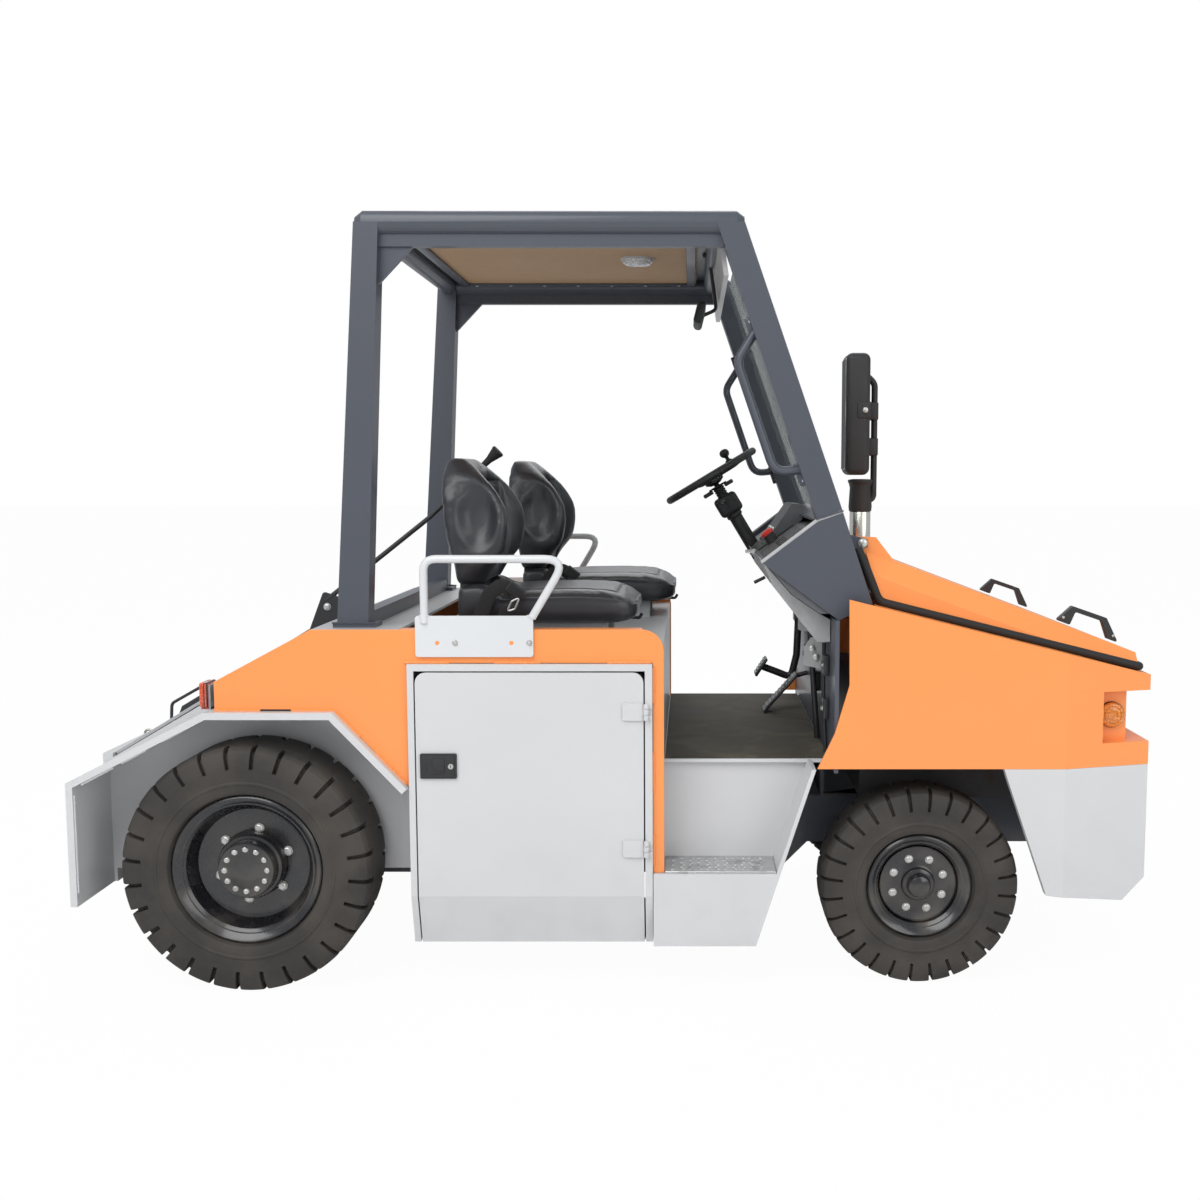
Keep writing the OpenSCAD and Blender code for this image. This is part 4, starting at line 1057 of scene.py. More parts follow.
class TRACTOR_OT_cab(Maker):
    """Pillar handles, header plate, inner mirror and roof lamp"""

    bl_idname = "tractor.cab"
    bl_label = "Cab fittings"

    LOOP_LOW = Vector((0.601, -0.605, 1.506))
    ALONG = Vector((-0.3275, 0.0, 0.9449))
    OUT = Vector((-0.9449, 0.0, -0.3275))
    LENGTH = 0.410
    REACH = 0.070

    def build(self, context):
        self.loops()
        self.mirror()
        self.lamp()
        self.roof()

    def loops(self):
        bm = bmesh.new()
        low, high = self.LOOP_LOW, self.LOOP_LOW + self.ALONG * self.LENGTH
        bar = [
            low - self.OUT * 0.004, low + self.OUT * self.REACH + self.ALONG * 0.018,
            high + self.OUT * self.REACH - self.ALONG * 0.060, high - self.OUT * 0.004,
        ]
        add_tube(bm, bar, (0.0130, 0.0175), 0.055, 16, flat=self.OUT)
        for foot, way in ((low, -1), (high, 1)):
            spot = foot - self.OUT * 0.003 + self.ALONG * 0.012 * way
            box = add_box(bm, (-0.034, -0.016, -0.004), (0.034, 0.016, 0.004), 0.0035)
            turn = self.ALONG.to_track_quat("X", "Y").to_matrix().to_4x4()
            bmesh.ops.transform(bm, matrix=Matrix.Translation(spot) @ turn, verts=box)
            add_screw(bm, spot + self.OUT * 0.004 + self.ALONG * 0.020 * way, self.OUT, 0.006, 1)
        mirrored(bm)
        finish_piece(
            "pillar_loops", bm, "chassis", ["frame_paint", "zinc"], ("grab_handles",), 40.0
        )

    def mirror(self):
        """A small drooping mirror on a bent stem under the header."""
        low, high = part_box("inner_mirror")
        bm = bmesh.new()
        x, z = (low.x + high.x) / 2, (low.z + 0.072 / 2)
        shell = add_box(bm, (low.x, low.y, low.z), (high.x, high.y, low.z + 0.072), 0.012, 4)
        face_low = (low.x - 0.001, low.y + 0.008, low.z + 0.008)
        face_high = (low.x + 0.002, high.y - 0.008, low.z + 0.064)
        glass = add_box(bm, face_low, face_high, 0.0008, 1, 1)
        droop = Matrix.Rotation(math.radians(14), 3, "Y")
        bmesh.ops.rotate(bm, cent=(x, 0, z), matrix=droop, verts=shell + glass)
        top = high.z - 0.002
        add_tube(bm, [(x + 0.008, 0, z), (x + 0.055, 0, z + 0.020), (x + 0.030, 0, top)], 0.006, 0.02, 12)
        add_cone(bm, (x + 0.030, 0, top), (0, 0, -1), 0.022, 0.018, 0.010, 24)
        finish_piece(
            "inner_mirror_head", bm, "chassis", ["black_plastic", "mirror_face"],
            ("inner_mirror",),
        )

    def lamp(self):
        low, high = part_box("dome_lamp")
        centre = Vector(((low.x + high.x) / 2, (low.y + high.y) / 2, high.z))
        radius = (high.x - low.x) / 2
        bm = bmesh.new()
        for size, depth, index in ((1.0, 0.006, 1), (0.90, 0.014, 0), (0.78, 0.020, 0), (0.52, 0.0225, 0)):
            add_cone(bm, centre, (0, 0, -1), radius * size, radius * size * 0.96, depth, 48, index)
        finish_piece(
            "roof_lamp", bm, "chassis", ["lamp_white", "knee_plastic"], ("dome_lamp",), 40.0
        )

    def roof(self):
        """Header plate, liner battens and the welds at the posts' feet and the cowl."""
        low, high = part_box("roof_liner")
        bm = bmesh.new()
        header = [(0.362, 2.215), (0.376, 2.215), (0.398, 2.060), (0.384, 2.060)]
        add_side_slab(bm, header, -0.560, 0.560, index=2)
        for x in (low.x + 0.02, high.x - 0.02):
            add_box(bm, (x - 0.015, low.y, low.z - 0.010), (x + 0.015, high.y, low.z + 0.002), 0.002, index=0)
        for y in (low.y + 0.012, high.y - 0.012):
            add_box(bm, (low.x, y - 0.012, low.z - 0.008), (high.x, y + 0.012, low.z + 0.002), 0.002, index=0)
            for i in range(7):
                x = low.x + (high.x - low.x) * (i + 0.5) / 7
                add_cone(bm, (x, y, low.z - 0.008), (0, 0, -1), 0.006, 0.005, 0.002, 12, 1)
        for out in SIDES.values():
            add_bead(bm, (-0.738, out * 0.640, 1.069), (-0.616, out * 0.640, 1.069), 0.0035, 11, 0)
            add_bead(bm, (0.648, out * 0.641, 1.366), (0.722, out * 0.641, 1.390), 0.0035, 12, 0)
        finish_piece("roof_trim", bm, "chassis", ["frame_paint", "zinc", "silver_paint"])


class TRACTOR_OT_hood(Maker):
    """Hood seal, hinge bolts and hood handles"""

    bl_idname = "tractor.hood"
    bl_label = "Hood fittings"

    SEAL_Y = 0.602
    SEAL_R = 0.0125
    NOSE_X = 1.603

    def seal_z(self, x):
        return 1.151 - 0.2496 * (x - 0.738)

    def build(self, context):
        bm = bmesh.new()
        y, x = self.SEAL_Y, self.NOSE_X
        side = [(0.770, 1.284), (0.790, 1.240), (0.834, self.seal_z(0.834)), (x, self.seal_z(x))]
        around = [*from_side(side, -y), *from_side(reversed(side), y)]
        add_tube(bm, around, self.SEAL_R, 0.040, 14)
        finish_piece("seal_tube", bm, "hood", "seal_rubber", ("hood_seal",), 60.0)
        self.handles()
        self.hinges()

    def handles(self):
        """Moulded bridge handles with flared feet."""
        low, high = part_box("hood_handles")
        slope = 0.3694
        bm = bmesh.new()
        y = high.y - 0.014

        def lifted(*spots):
            return [(x, 1.275 - slope * (x - 0.800) + rise) for x, rise in spots]

        x0, x1 = low.x, high.x
        outer = lifted((x0, 0.001), (x0 + 0.046, 0.060), (x1 - 0.036, 0.062), (x1, 0.001))
        inner = lifted((x1 - 0.032, 0.001), (x1 - 0.050, 0.047), (x0 + 0.054, 0.045), (x0 + 0.038, 0.001))
        add_side_slab(bm, outer + inner, -y - 0.013, -y + 0.013, 0.006)
        for spot in from_side(lifted((x0 + 0.018, 0.016), (x1 - 0.016, 0.016)), -y - 0.013):
            add_screw(bm, spot, (0, -1, 0), 0.005, 1)
        mirrored(bm)
        finish_piece(
            "hood_grips", bm, "hood", ["black_plastic", "zinc"], ("hood_handles",),
            bevel=0.003,
        )

    def hinges(self):
        """Bolts of the hinge lugs."""
        bm = bmesh.new()
        for y in (-0.5245, -0.558):
            add_bolt(bm, (0.791, y, 1.295), (0, -1 if y < -0.54 else 1, 0), 0.012)
        mirrored(bm)
        finish_piece("hinge_bolts", bm, "chassis", "zinc")


class TRACTOR_OT_doors(Maker):
    """Latches with keys, hinge leaves and the welds round the battery boxes"""

    bl_idname = "tractor.doors"
    bl_label = "Battery doors"

    FACE_Y = 0.704
    PANEL_Y = 0.690
    HINGE_Z = (0.426, 0.823)
    TOP_WELDS = [(-0.520, -0.399), (-0.266, -0.139), (0.056, 0.172)]
    FRONT_WELDS = [(0.944, 0.848), (0.699, 0.585), (0.460, 0.372)]

    def build(self, context):
        for side, out in SIDES.items():
            self.latch(side, out)
        self.welds()

    def latch(self, side, out):
        low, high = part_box(f"door_latch_{side}")
        y = self.FACE_Y
        x0, x1, z0, z1 = low.x, high.x, low.z, high.z
        bm = bmesh.new()
        ring = [(x0, z0), (x1, z0), (x1, z1), (x0, z1)]
        add_side_slab(bm, ring, y, y + 0.0065, 0.004)
        plates = [
            (0.006, 0.098, 0.005, 0.067, 0.008), (0.036, 0.070, 0.016, 0.058, 0.0105),
            (0.013, 0.018, 0.022, 0.050, 0.0095),
        ]
        for left, right, foot, top, rise in plates:
            add_box(bm, (x0 + left, y + 0.006, z0 + foot), (x0 + right, y + rise, z0 + top), 0.0012)
        add_box(bm, (x0 + 0.040, y + 0.010, z0 + 0.017), (x0 + 0.066, y + 0.0125, z0 + 0.022), 0.001)
        key = Vector((x0 + 0.088, y + 0.008, (z0 + z1) / 2))
        add_cone(bm, key, (0, 1, 0), 0.0085, 0.0075, 0.0035, 28, 1)
        add_box(bm, key + Vector((-0.001, 0.0034, -0.005)), key + Vector((0.001, 0.004, 0.005)), 0.0, index=0)
        for z in self.HINGE_Z:
            leaf = [(0.096, z - 0.025), (0.1535, z - 0.025), (0.1535, z + 0.025), (0.096, z + 0.025)]
            add_side_slab(bm, leaf, y + 0.0002, y + 0.0058, 0.004, 2)
            add_bead(bm, (0.096, y + 0.002, z - 0.022), (0.096, y + 0.002, z + 0.022), 0.0025, 3, 2)
        if out < 0:
            bmesh.ops.scale(bm, vec=(1, -1, 1), verts=bm.verts)
        finish_piece(
            f"latch_{side}", bm, f"door_{side}", ["black_plastic", "zinc", "silver_paint"],
            (f"door_latch_{side}",), bevel=0.0008,
        )

    def welds(self):
        """Painted stitch welds where the boxes and fenders meet the orange panels."""
        bm = bmesh.new()
        y = -self.PANEL_Y
        for i, (x0, x1) in enumerate(self.TOP_WELDS):
            add_bead(bm, (x0, y, 0.962), (x1, y, 0.962), 0.006, i)
        for i, (z0, z1) in enumerate(self.FRONT_WELDS):
            add_bead(bm, (0.183, y, z0), (0.183, y, z1), 0.006, 10 + i)
        for i, (x0, x1) in enumerate(((-1.066, -0.940), (-0.846, -0.730))):
            add_bead(bm, (x0, y, 0.8235), (x1, y, 0.8235), 0.005, 20 + i)
        slope = (Vector((-0.727, y, 0.8235)), Vector((-0.517, y, 0.6025)))
        for i, (t0, t1) in enumerate(((0.02, 0.34), (0.56, 0.96))):
            add_bead(bm, slope[0].lerp(slope[1], t0), slope[0].lerp(slope[1], t1), 0.005, 30 + i)
        add_box(bm, (-0.938, y - 0.0006, 0.8225), (-0.850, y + 0.002, 0.8275), index=1)
        mirrored(bm)
        finish_piece(
            "panel_welds", bm, "chassis", ["orange_paint", "black_steel"], smooth=80.0
        )


class TRACTOR_OT_steps(Maker):
    """Raised bars and nosing of the step treads"""

    bl_idname = "tractor.steps"
    bl_label = "Step treads"

    def build(self, context):
        low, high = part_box("step_treads")
        bm = bmesh.new()
        x0, x1, y0, y1, z = low.x + 0.012, high.x - 0.030, 0.556, high.y - 0.016, high.z
        rows, columns = 6, 11
        for row in range(rows):
            for column in range(columns):
                spot = Vector((
                    x0 + (x1 - x0) * (column + 0.5) / columns, -(y0 + (y1 - y0) * (row + 0.5) / rows), z
                ))
                bar = bmesh.ops.create_icosphere(bm, subdivisions=1, radius=1.0)["verts"]
                bmesh.ops.scale(bm, vec=(0.0125, 0.0034, 0.0022), verts=bar)
                turn = Matrix.Rotation(math.radians(45 if (row + column) % 2 else -45), 3, "Z")
                bmesh.ops.rotate(bm, cent=(0, 0, 0), matrix=turn, verts=bar)
                bmesh.ops.translate(bm, vec=spot, verts=bar)
        add_box(bm, (low.x, low.y, z - 0.0075), (high.x - 0.004, low.y + 0.006, z + 0.0015), 0.002)
        for i in range(3):
            x = low.x + 0.055 + 0.014 * i
            y = low.y - 0.0004
            add_tube(bm, [(x, y, z - 0.001), (x + 0.008, y, z - 0.009)], 0.0022, sides=8)
        mirrored(bm)
        finish_piece("tread_bars", bm, "chassis", "tread_plate", smooth=70.0)


class TRACTOR_OT_steering(Maker):
    """Steering wheel with its spinner knob, and the column with its switches"""

    bl_idname = "tractor.steering"
    bl_label = "Steering"

    CENTRE = Vector((0.363, 0.330, 1.490))
    TILT = math.radians(-31.0)
    RIM = 0.172
    TUBE = 0.0128

    def placed(self, bm):
        bmesh.ops.transform(
            bm, matrix=Matrix.Translation(self.CENTRE) @ Matrix.Rotation(self.TILT, 4, "Y"), verts=bm.verts
        )
        return bm

    def build(self, context):
        self.wheel()
        self.column()

    def wheel(self):
        bm = bmesh.new()
        turns = [2 * math.pi * i / 18 for i in range(18)]
        ring = [(self.RIM + self.TUBE * math.cos(t), self.TUBE * math.sin(t)) for t in turns]
        add_lathe(bm, ring, (0, 0, 0), 96, closed=True, axis="Z")
        hub = [
            (0.0, 0.010), (0.018, 0.009), (0.033, 0.003), (0.038, -0.010), (0.035, -0.026), (0.020, -0.034),
            (0.010, -0.036), (0.010, -0.078), (0.0, -0.078),
        ]
        add_lathe(bm, hub, (0, 0, 0), 40, axis="Z")
        for i in range(3):
            a = 2 * math.pi * i / 3
            out, across = Vector((math.cos(a), math.sin(a), 0)), Vector((-math.sin(a), math.cos(a), 0))
            spoke = [
                out * 0.028 + Vector((0, 0, -0.014)), out * 0.090 + Vector((0, 0, -0.013)), out * self.RIM,
            ]
            add_tube(bm, spoke, (0.0125, 0.0045), 0.05, 12, flat=across)
        knob = [
            (0.010, 0.006), (0.014, 0.010), (0.013, 0.016), (0.007, 0.019), (0.007, 0.028), (0.015, 0.034),
            (0.0185, 0.043), (0.0165, 0.053), (0.009, 0.059), (0.0, 0.060),
        ]
        a = math.radians(60)
        add_lathe(bm, knob, (self.RIM * math.cos(a), self.RIM * math.sin(a), 0), 28, axis="Z")
        finish_piece(
            "steering_rim", self.placed(bm), "steering_wheel", "black_plastic",
            ("steering_wheel",), 50.0,
        )

    def column(self):
        bm = bmesh.new()
        gaiter = [(0.0125, -0.084)]
        for i in range(4):
            z = -0.084 + 0.0095 * i
            gaiter += [(0.021, z), (0.021, z + 0.004), (0.0175, z + 0.006)]
        gaiter += [(0.034, -0.046), (0.036, -0.042), (0.0125, -0.041)]
        add_lathe(bm, gaiter, (0, 0, 0), 32, closed=True, axis="Z")
        add_box(bm, (-0.043, -0.040, -0.156), (0.043, 0.040, -0.084), 0.014, 4)
        add_box(bm, (-0.062, -0.016, -0.060), (-0.024, 0.016, -0.046), 0.004)
        add_box(bm, (0.024, -0.016, -0.060), (0.058, 0.016, -0.046), 0.004)
        tube = [
            (0.0, -0.335), (0.024, -0.335), (0.024, -0.172), (0.029, -0.168), (0.029, -0.154), (0.0, -0.154),
        ]
        add_lathe(bm, tube, (0, 0, 0), 32, axis="Z")
        for way, tip in ((-1, (-0.012, -0.140, -0.098)), (1, (-0.008, 0.095, -0.100))):
            add_tube(bm, [(0, 0.036 * way, -0.110), (-0.002, 0.060 * way, -0.108), tip], 0.0045, 0.02, 10)
            add_cone(bm, tip, (0, way, 0.1), 0.0075, 0.0060, 0.020, 16)
        finish_piece(
            "column_switches", self.placed(bm), "chassis", "black_plastic",
            ("steering_column",), 50.0,
        )


class TRACTOR_OT_dash(Maker):
    """Instrument pod, trims, knee panel, brackets and pedals"""

    bl_idname = "tractor.dash"
    bl_label = "Dashboard"

    LIP = [(0.491, 1.243), (0.650, 1.364), (0.722, 1.389)]
    POD = [(0.522, 1.247), (0.580, 1.333), (0.624, 1.398), (0.662, 1.396), (0.658, 1.345), (0.640, 1.334)]
    KNEE = [(0.497, 1.244), (0.531, 1.166), (0.660, 1.004)]
    KNEE_BACK = [(0.698, 1.004), (0.698, 1.070), (0.664, 1.088), (0.584, 1.143), (0.509, 1.228)]
    FACE = Vector((-0.829, 0.0, 0.559))

    def build(self, context):
        self.trims()
        self.brackets()
        self.pedals()

    def trims(self):
        bm = bmesh.new()
        for out in SIDES.values():
            add_tube(bm, from_side(self.LIP, out * 0.637), 0.0055, 0.03, 10, 1)
        for y0, y1 in ((-0.622, -0.150), (-0.060, 0.270)):
            tray = [(0.515, 1.2425), (0.628, 1.326), (0.626, 1.330), (0.512, 1.2465)]
            add_side_slab(bm, tray, y0, y1, index=0)
        add_side_slab(bm, self.POD, -0.050, 0.262, 0.010, 2)
        for y in (0.030, 0.125, 0.205):
            spot = Vector((0.551, y, 1.290))
            add_cone(bm, spot, self.FACE, 0.034, 0.032, 0.005, 36, 3)
            add_cone(bm, spot, self.FACE, 0.029, 0.029, 0.0056, 36, 0)
        stop = Vector((0.561, -0.120, 1.274))
        up = Vector((-0.602, 0.0, 0.799))
        add_cone(bm, stop, up, 0.021, 0.019, 0.034, 28, 0)
        add_cone(bm, stop + up * 0.034, up, 0.022, 0.022, 0.009, 32, 4)
        add_cone(bm, stop + up * 0.043, up, 0.022, 0.015, 0.005, 32, 4)
        for y in (-0.460, -0.400, -0.340, -0.280):
            rocker = add_box(bm, (-0.016, y - 0.012, -0.002), (0.016, y + 0.012, 0.006), 0.002)
            slope = Matrix.Rotation(math.radians(-37), 3, "Y")
            bmesh.ops.rotate(bm, cent=(0, y, 0), matrix=slope, verts=rocker)
            bmesh.ops.translate(bm, vec=(0.570, 0, 1.288), verts=rocker)
        add_side_slab(bm, self.KNEE + self.KNEE_BACK, -0.560, 0.560, 0.004, 1)
        key = Vector((0.498, -0.060, 1.236))
        add_cone(bm, key, self.FACE, 0.012, 0.011, 0.010, 24, 3)
        blade = [key + self.FACE * 0.010, key + self.FACE * 0.034 + Vector((0, 0, -0.014))]
        add_tube(bm, blade, (0.008, 0.0015), sides=10, index=3)
        add_tube(bm, [(0.533, -0.110, 1.160), (0.497, -0.110, 1.142)], 0.0055, sides=12)
        finish_piece(
            "dash_trim", bm, "chassis",
            ["black_plastic", "knee_plastic", "dash_plastic", "zinc", "red_plastic"],
            smooth=40.0, bevel=0.0012,
        )

    def brackets(self):
        """Light plates with bolts on the bulkhead, and the rods that run down from them."""
        bm = bmesh.new()
        plates = [
            (
                -0.300, [(0.626, 1.008), (0.699, 0.998), (0.699, 1.062), (0.648, 1.066), (0.626, 1.046)],
                [(0.657, 1.028)],
            ),
            (
                -0.420, [(0.634, 0.914), (0.699, 0.902), (0.699, 0.998), (0.655, 1.000), (0.634, 0.968)],
                [(0.660, 0.966), (0.672, 0.940)],
            ),
        ]
        for y, outline, bolts in plates:
            add_side_slab(bm, outline, y, y + 0.006, 0.008, 1)
            for x, z in bolts:
                add_bolt(bm, (x, y, z), (0, -1, 0), 0.010, 2)
        for y, z in ((-0.520, 0.93), (-0.520, 0.80), (-0.250, 0.84), (0.100, 0.88)):
            add_box(bm, (0.682, y - 0.022, z - 0.030), (0.700, y + 0.022, z + 0.030), 0.003, index=0)
            add_bolt(bm, (0.682, y, z), (-1, 0, 0), 0.008, 2)
        thick = [(0.664, -0.290, 1.004), (0.672, -0.290, 0.900), (0.690, -0.290, 0.662)]
        thin = [(0.690, -0.470, 0.990), (0.688, -0.480, 0.850), (0.694, -0.500, 0.664)]
        add_tube(bm, thick, 0.0095, 0.05, 12)
        add_tube(bm, thin, 0.0060, 0.05, 10)
        finish_piece(
            "bulkhead_brackets", bm, "chassis", ["black_steel", "knee_plastic", "zinc"],
            bevel=0.001,
        )

    def pedals(self):
        bm = bmesh.new()
        y = 0.350
        arm = [(0.682, 0.990), (0.676, 0.840), (0.656, 0.756), (0.606, 0.776), (0.548, 0.798)]
        add_tube(bm, from_side(arm, y), (0.0095, 0.013), 0.030, 12, flat=(0, 1, 0))
        add_box(bm, (0.664, y - 0.030, 0.965), (0.700, y + 0.030, 1.015), 0.004)
        self.pad(bm, Vector((0.545, y, 0.798)), 57.0, (0.075, 0.084), 5)
        hinge, top = Vector((0.550, 0.180, 0.672)), Vector((0.662, 0.180, 0.798))
        centre = (hinge + top) / 2
        tilt = math.degrees(math.atan2(top.z - hinge.z, top.x - hinge.x))
        self.pad(bm, centre, tilt, ((top - hinge).length, 0.078), 9)
        add_tube(bm, [(0.655, 0.180, 0.788), (0.700, 0.180, 0.800)], 0.008, sides=12)
        add_tube(bm, [(0.550, 0.135, 0.670), (0.550, 0.225, 0.670)], 0.006, sides=12)
        finish_piece(
            "pedal_pads", bm, "chassis", ["black_steel", "zinc"], ("pedals",), 40.0, 0.0008
        )

    def pad(self, bm, centre, tilt, size, ribs):
        """A tilted plate with raised ribs across it."""
        length, width = size
        made = add_box(bm, (-length / 2, -width / 2, -0.006), (length / 2, width / 2, 0.004), 0.004, 3)
        for i in range(ribs):
            x = length * ((i + 0.5) / ribs - 0.5) * 0.9
            reach = width * 0.42
            made += add_box(bm, (x - 0.003, -reach, 0.003), (x + 0.003, reach, 0.0065), 0.001, 1, 1)
        turn = Matrix.Rotation(math.radians(-tilt), 4, "Y")
        bmesh.ops.transform(bm, matrix=Matrix.Translation(centre) @ turn, verts=made)


class TRACTOR_OT_lamps(Maker):
    """Head, turn and tail lamps"""

    bl_idname = "tractor.lamps"
    bl_label = "Lamps"

    def build(self, context):
        self.head()
        self.turn()
        self.tail()

    def head(self):
        low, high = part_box("headlamps")
        bm = bmesh.new()
        centre = (low.x, low.y + (high.z - low.z) / 2, (low.z + high.z) / 2)
        bezel = [
            (0.040, 0.0), (0.066, 0.0), (0.066, 0.011), (0.062, 0.016), (0.057, 0.015), (0.054, 0.009),
            (0.040, 0.008),
        ]
        glass = [(0.0555, 0.006), (0.053, 0.015), (0.044, 0.022), (0.026, 0.028), (0.0, 0.030)]
        add_lathe(bm, bezel, centre, 64, 1, True, "X")
        add_lathe(bm, glass, centre, 64, 0, axis="X")
        mirrored(bm)
        finish_piece("head_lenses", bm, "chassis", ["lamp_white", "zinc"], ("headlamps",), 50.0)

    def turn(self):
        low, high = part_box("turn_lamps")
        bm = bmesh.new()
        centre = Vector(((low.x + high.x) / 2, high.y - 0.020, (low.z + high.z) / 2))
        base = [(0.0, 0.0), (0.038, 0.0), (0.038, 0.007), (0.0365, 0.009), (0.0, 0.009)]
        glass = [
            (0.0365, 0.008), (0.0355, 0.014), (0.031, 0.0175), (0.026, 0.018), (0.025, 0.0165),
            (0.022, 0.0185), (0.014, 0.0195), (0.0125, 0.0182), (0.0, 0.0200),
        ]
        add_lathe(bm, base, centre, 48, 1)
        add_lathe(bm, glass, centre, 48, 0)
        for i in range(20):
            a = 2 * math.pi * i / 20
            way = Vector((math.cos(a), 0, math.sin(a)))
            rib = [centre + way * r + Vector((0, y, 0)) for r, y in ((0.0255, 0.0172), (0.0355, 0.0135))]
            add_tube(bm, rib, 0.0021, sides=6)
        mirrored(bm)
        finish_piece(
            "turn_lenses", bm, "chassis", ["lamp_amber", "black_plastic"], ("turn_lamps",), 45.0
        )

    def tail(self):
        low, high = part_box("tail_lamps")
        bm = bmesh.new()
        y0, y1, z0, z1 = high.y - 0.070, high.y, low.z + 0.007, high.z
        add_box(bm, (low.x, y0, z0), (low.x + 0.014, y1, z1), 0.005, 3, 0)
        for i in range(3):
            z = z0 + (z1 - z0) * (0.25 + 0.25 * i)
            corners = (low.x - 0.0006, y0 + 0.004, z - 0.006), (low.x + 0.004, y1 - 0.004, z + 0.006)
            add_box(bm, *corners, 0.002, 2, 0)
        add_box(bm, (low.x + 0.013, y0 - 0.002, z0 - 0.001), (high.x - 0.006, y1, z1), 0.003, 2, 1)
        back, rim = high.x - 0.006, z1 - 0.008
        bracket = [(back, low.z), (high.x, low.z), (high.x, rim), (back, rim)]
        add_side_slab(bm, bracket, y0 + 0.008, y1 - 0.008, index=2)
        add_box(bm, (low.x + 0.002, y0 + 0.008, low.z), (high.x, y1 - 0.008, low.z + 0.007), 0.001, index=2)
        for y in (y0 + 0.020, y1 - 0.020):
            add_bolt(bm, (low.x + 0.006, y, low.z + 0.007), (0, 0, 1), 0.0055, 3)
        mirrored(bm)
        finish_piece(
            "tail_lenses", bm, "chassis", ["lamp_red", "black_plastic", "deck_paint", "zinc"],
            ("tail_lamps",), 45.0,
        )


class TRACTOR_OT_rear(Maker):
    """Deck handle, release lever, coupling bolts and fender welds"""

    bl_idname = "tractor.rear"
    bl_label = "Rear fittings"

    DECK_LOW = (-1.459, 0.655)
    DECK_SLOPE = 0.5985
    LEVER_Y = -0.060
    ROD = [(-0.922, 1.077), (-0.568, 1.356), (-0.362, 1.552)]

    def on_deck(self, *spots):
        """Points from the side, each given by its X and its rise above the sloped deck."""
        low_x, low_z = self.DECK_LOW
        return [(x, low_z + (x - low_x) * self.DECK_SLOPE + rise) for x, rise in spots]

    def build(self, context):
        self.handle()
        self.lever()
        self.plate()

    def handle(self):
        bm = bmesh.new()
        bar = self.on_deck((-1.392, -0.004), (-1.388, 0.060), (-1.270, 0.056), (-1.242, -0.004))
        add_tube(bm, from_side(bar, -0.200), 0.005, 0.020, 12)
        for foot in from_side(self.on_deck((-1.392, 0.0), (-1.242, 0.0)), -0.200):
            add_cone(bm, foot, (-0.51, 0, 0.86), 0.014, 0.012, 0.004, 18)
        finish_piece("deck_handle", bm, "chassis", "black_steel", ("rear_grab_handle",), 50.0)

    def lever(self):
        bm = bmesh.new()
        y = self.LEVER_Y
        strip = self.on_deck((-1.430, 0.001), (-0.930, 0.001), (-0.930, 0.040), (-1.410, 0.040))
        add_side_slab(bm, strip, y - 0.006, y + 0.006, 0.008)
        pivot = self.on_deck((-0.980, 0.030), (-0.930, 0.001), (-0.872, 0.001))
        pivot += [(-0.880, 1.092), (-0.928, 1.108)]
        add_side_slab(bm, pivot, y - 0.0065, y + 0.0065, 0.010)
        add_bolt(bm, (-0.915, y - 0.0065, 1.058), (0, -1, 0), 0.011, 1)
        rod = from_side(self.ROD, y)
        add_tube(bm, rod, 0.008, 0.090, 14)
        way = (rod[2] - rod[1]).normalized()
        foot = rod[2] - way * 0.046
        grip = [(0.0, 0.010, 0.0115, 0.030), (0.030, 0.0115, 0.021, 0.038), (0.068, 0.0225, 0.0205, 0.008)]
        for start, r1, r2, length in grip:
            add_cone(bm, foot + way * start, way, r1, r2, length, 28, 2)
        finish_piece(
            "lever_rod", bm, "chassis", ["black_steel", "zinc", "seal_rubber"],
            ("release_lever",), 45.0, 0.001,
        )

    def plate(self):
        """Bolts of the coupling, its pin's chain eye and rough welds under the fenders."""
        bm = bmesh.new()
        for y in (-0.096, 0.096):
            for z in (0.300, 0.545):
                add_bolt(bm, (-1.5095, y, z), (-1, 0, 0), 0.014, 1)
        eye = [(-1.578, 0.588), (-1.578, 0.625), (-1.550, 0.625), (-1.550, 0.588)]
        add_tube(bm, from_side(eye, 0.030), 0.004, 0.014, 10, 1)
        for out in SIDES.values():
            line = (Vector((-1.466, out * 0.712, 0.604)), Vector((-1.100, out * 0.712, 0.7985)))
            for i, (t0, t1) in enumerate(((0.06, 0.30), (0.38, 0.56), (0.70, 0.97))):
                add_bead(bm, line[0].lerp(line[1], t0), line[0].lerp(line[1], t1), 0.005, 40 + i, 0)
            add_bead(bm, (-1.468, out * 0.712, 0.300), (-1.468, out * 0.712, 0.580), 0.0045, 50, 0)
        finish_piece("rear_bolts", bm, "chassis", ["silver_paint", "zinc"], smooth=80.0)


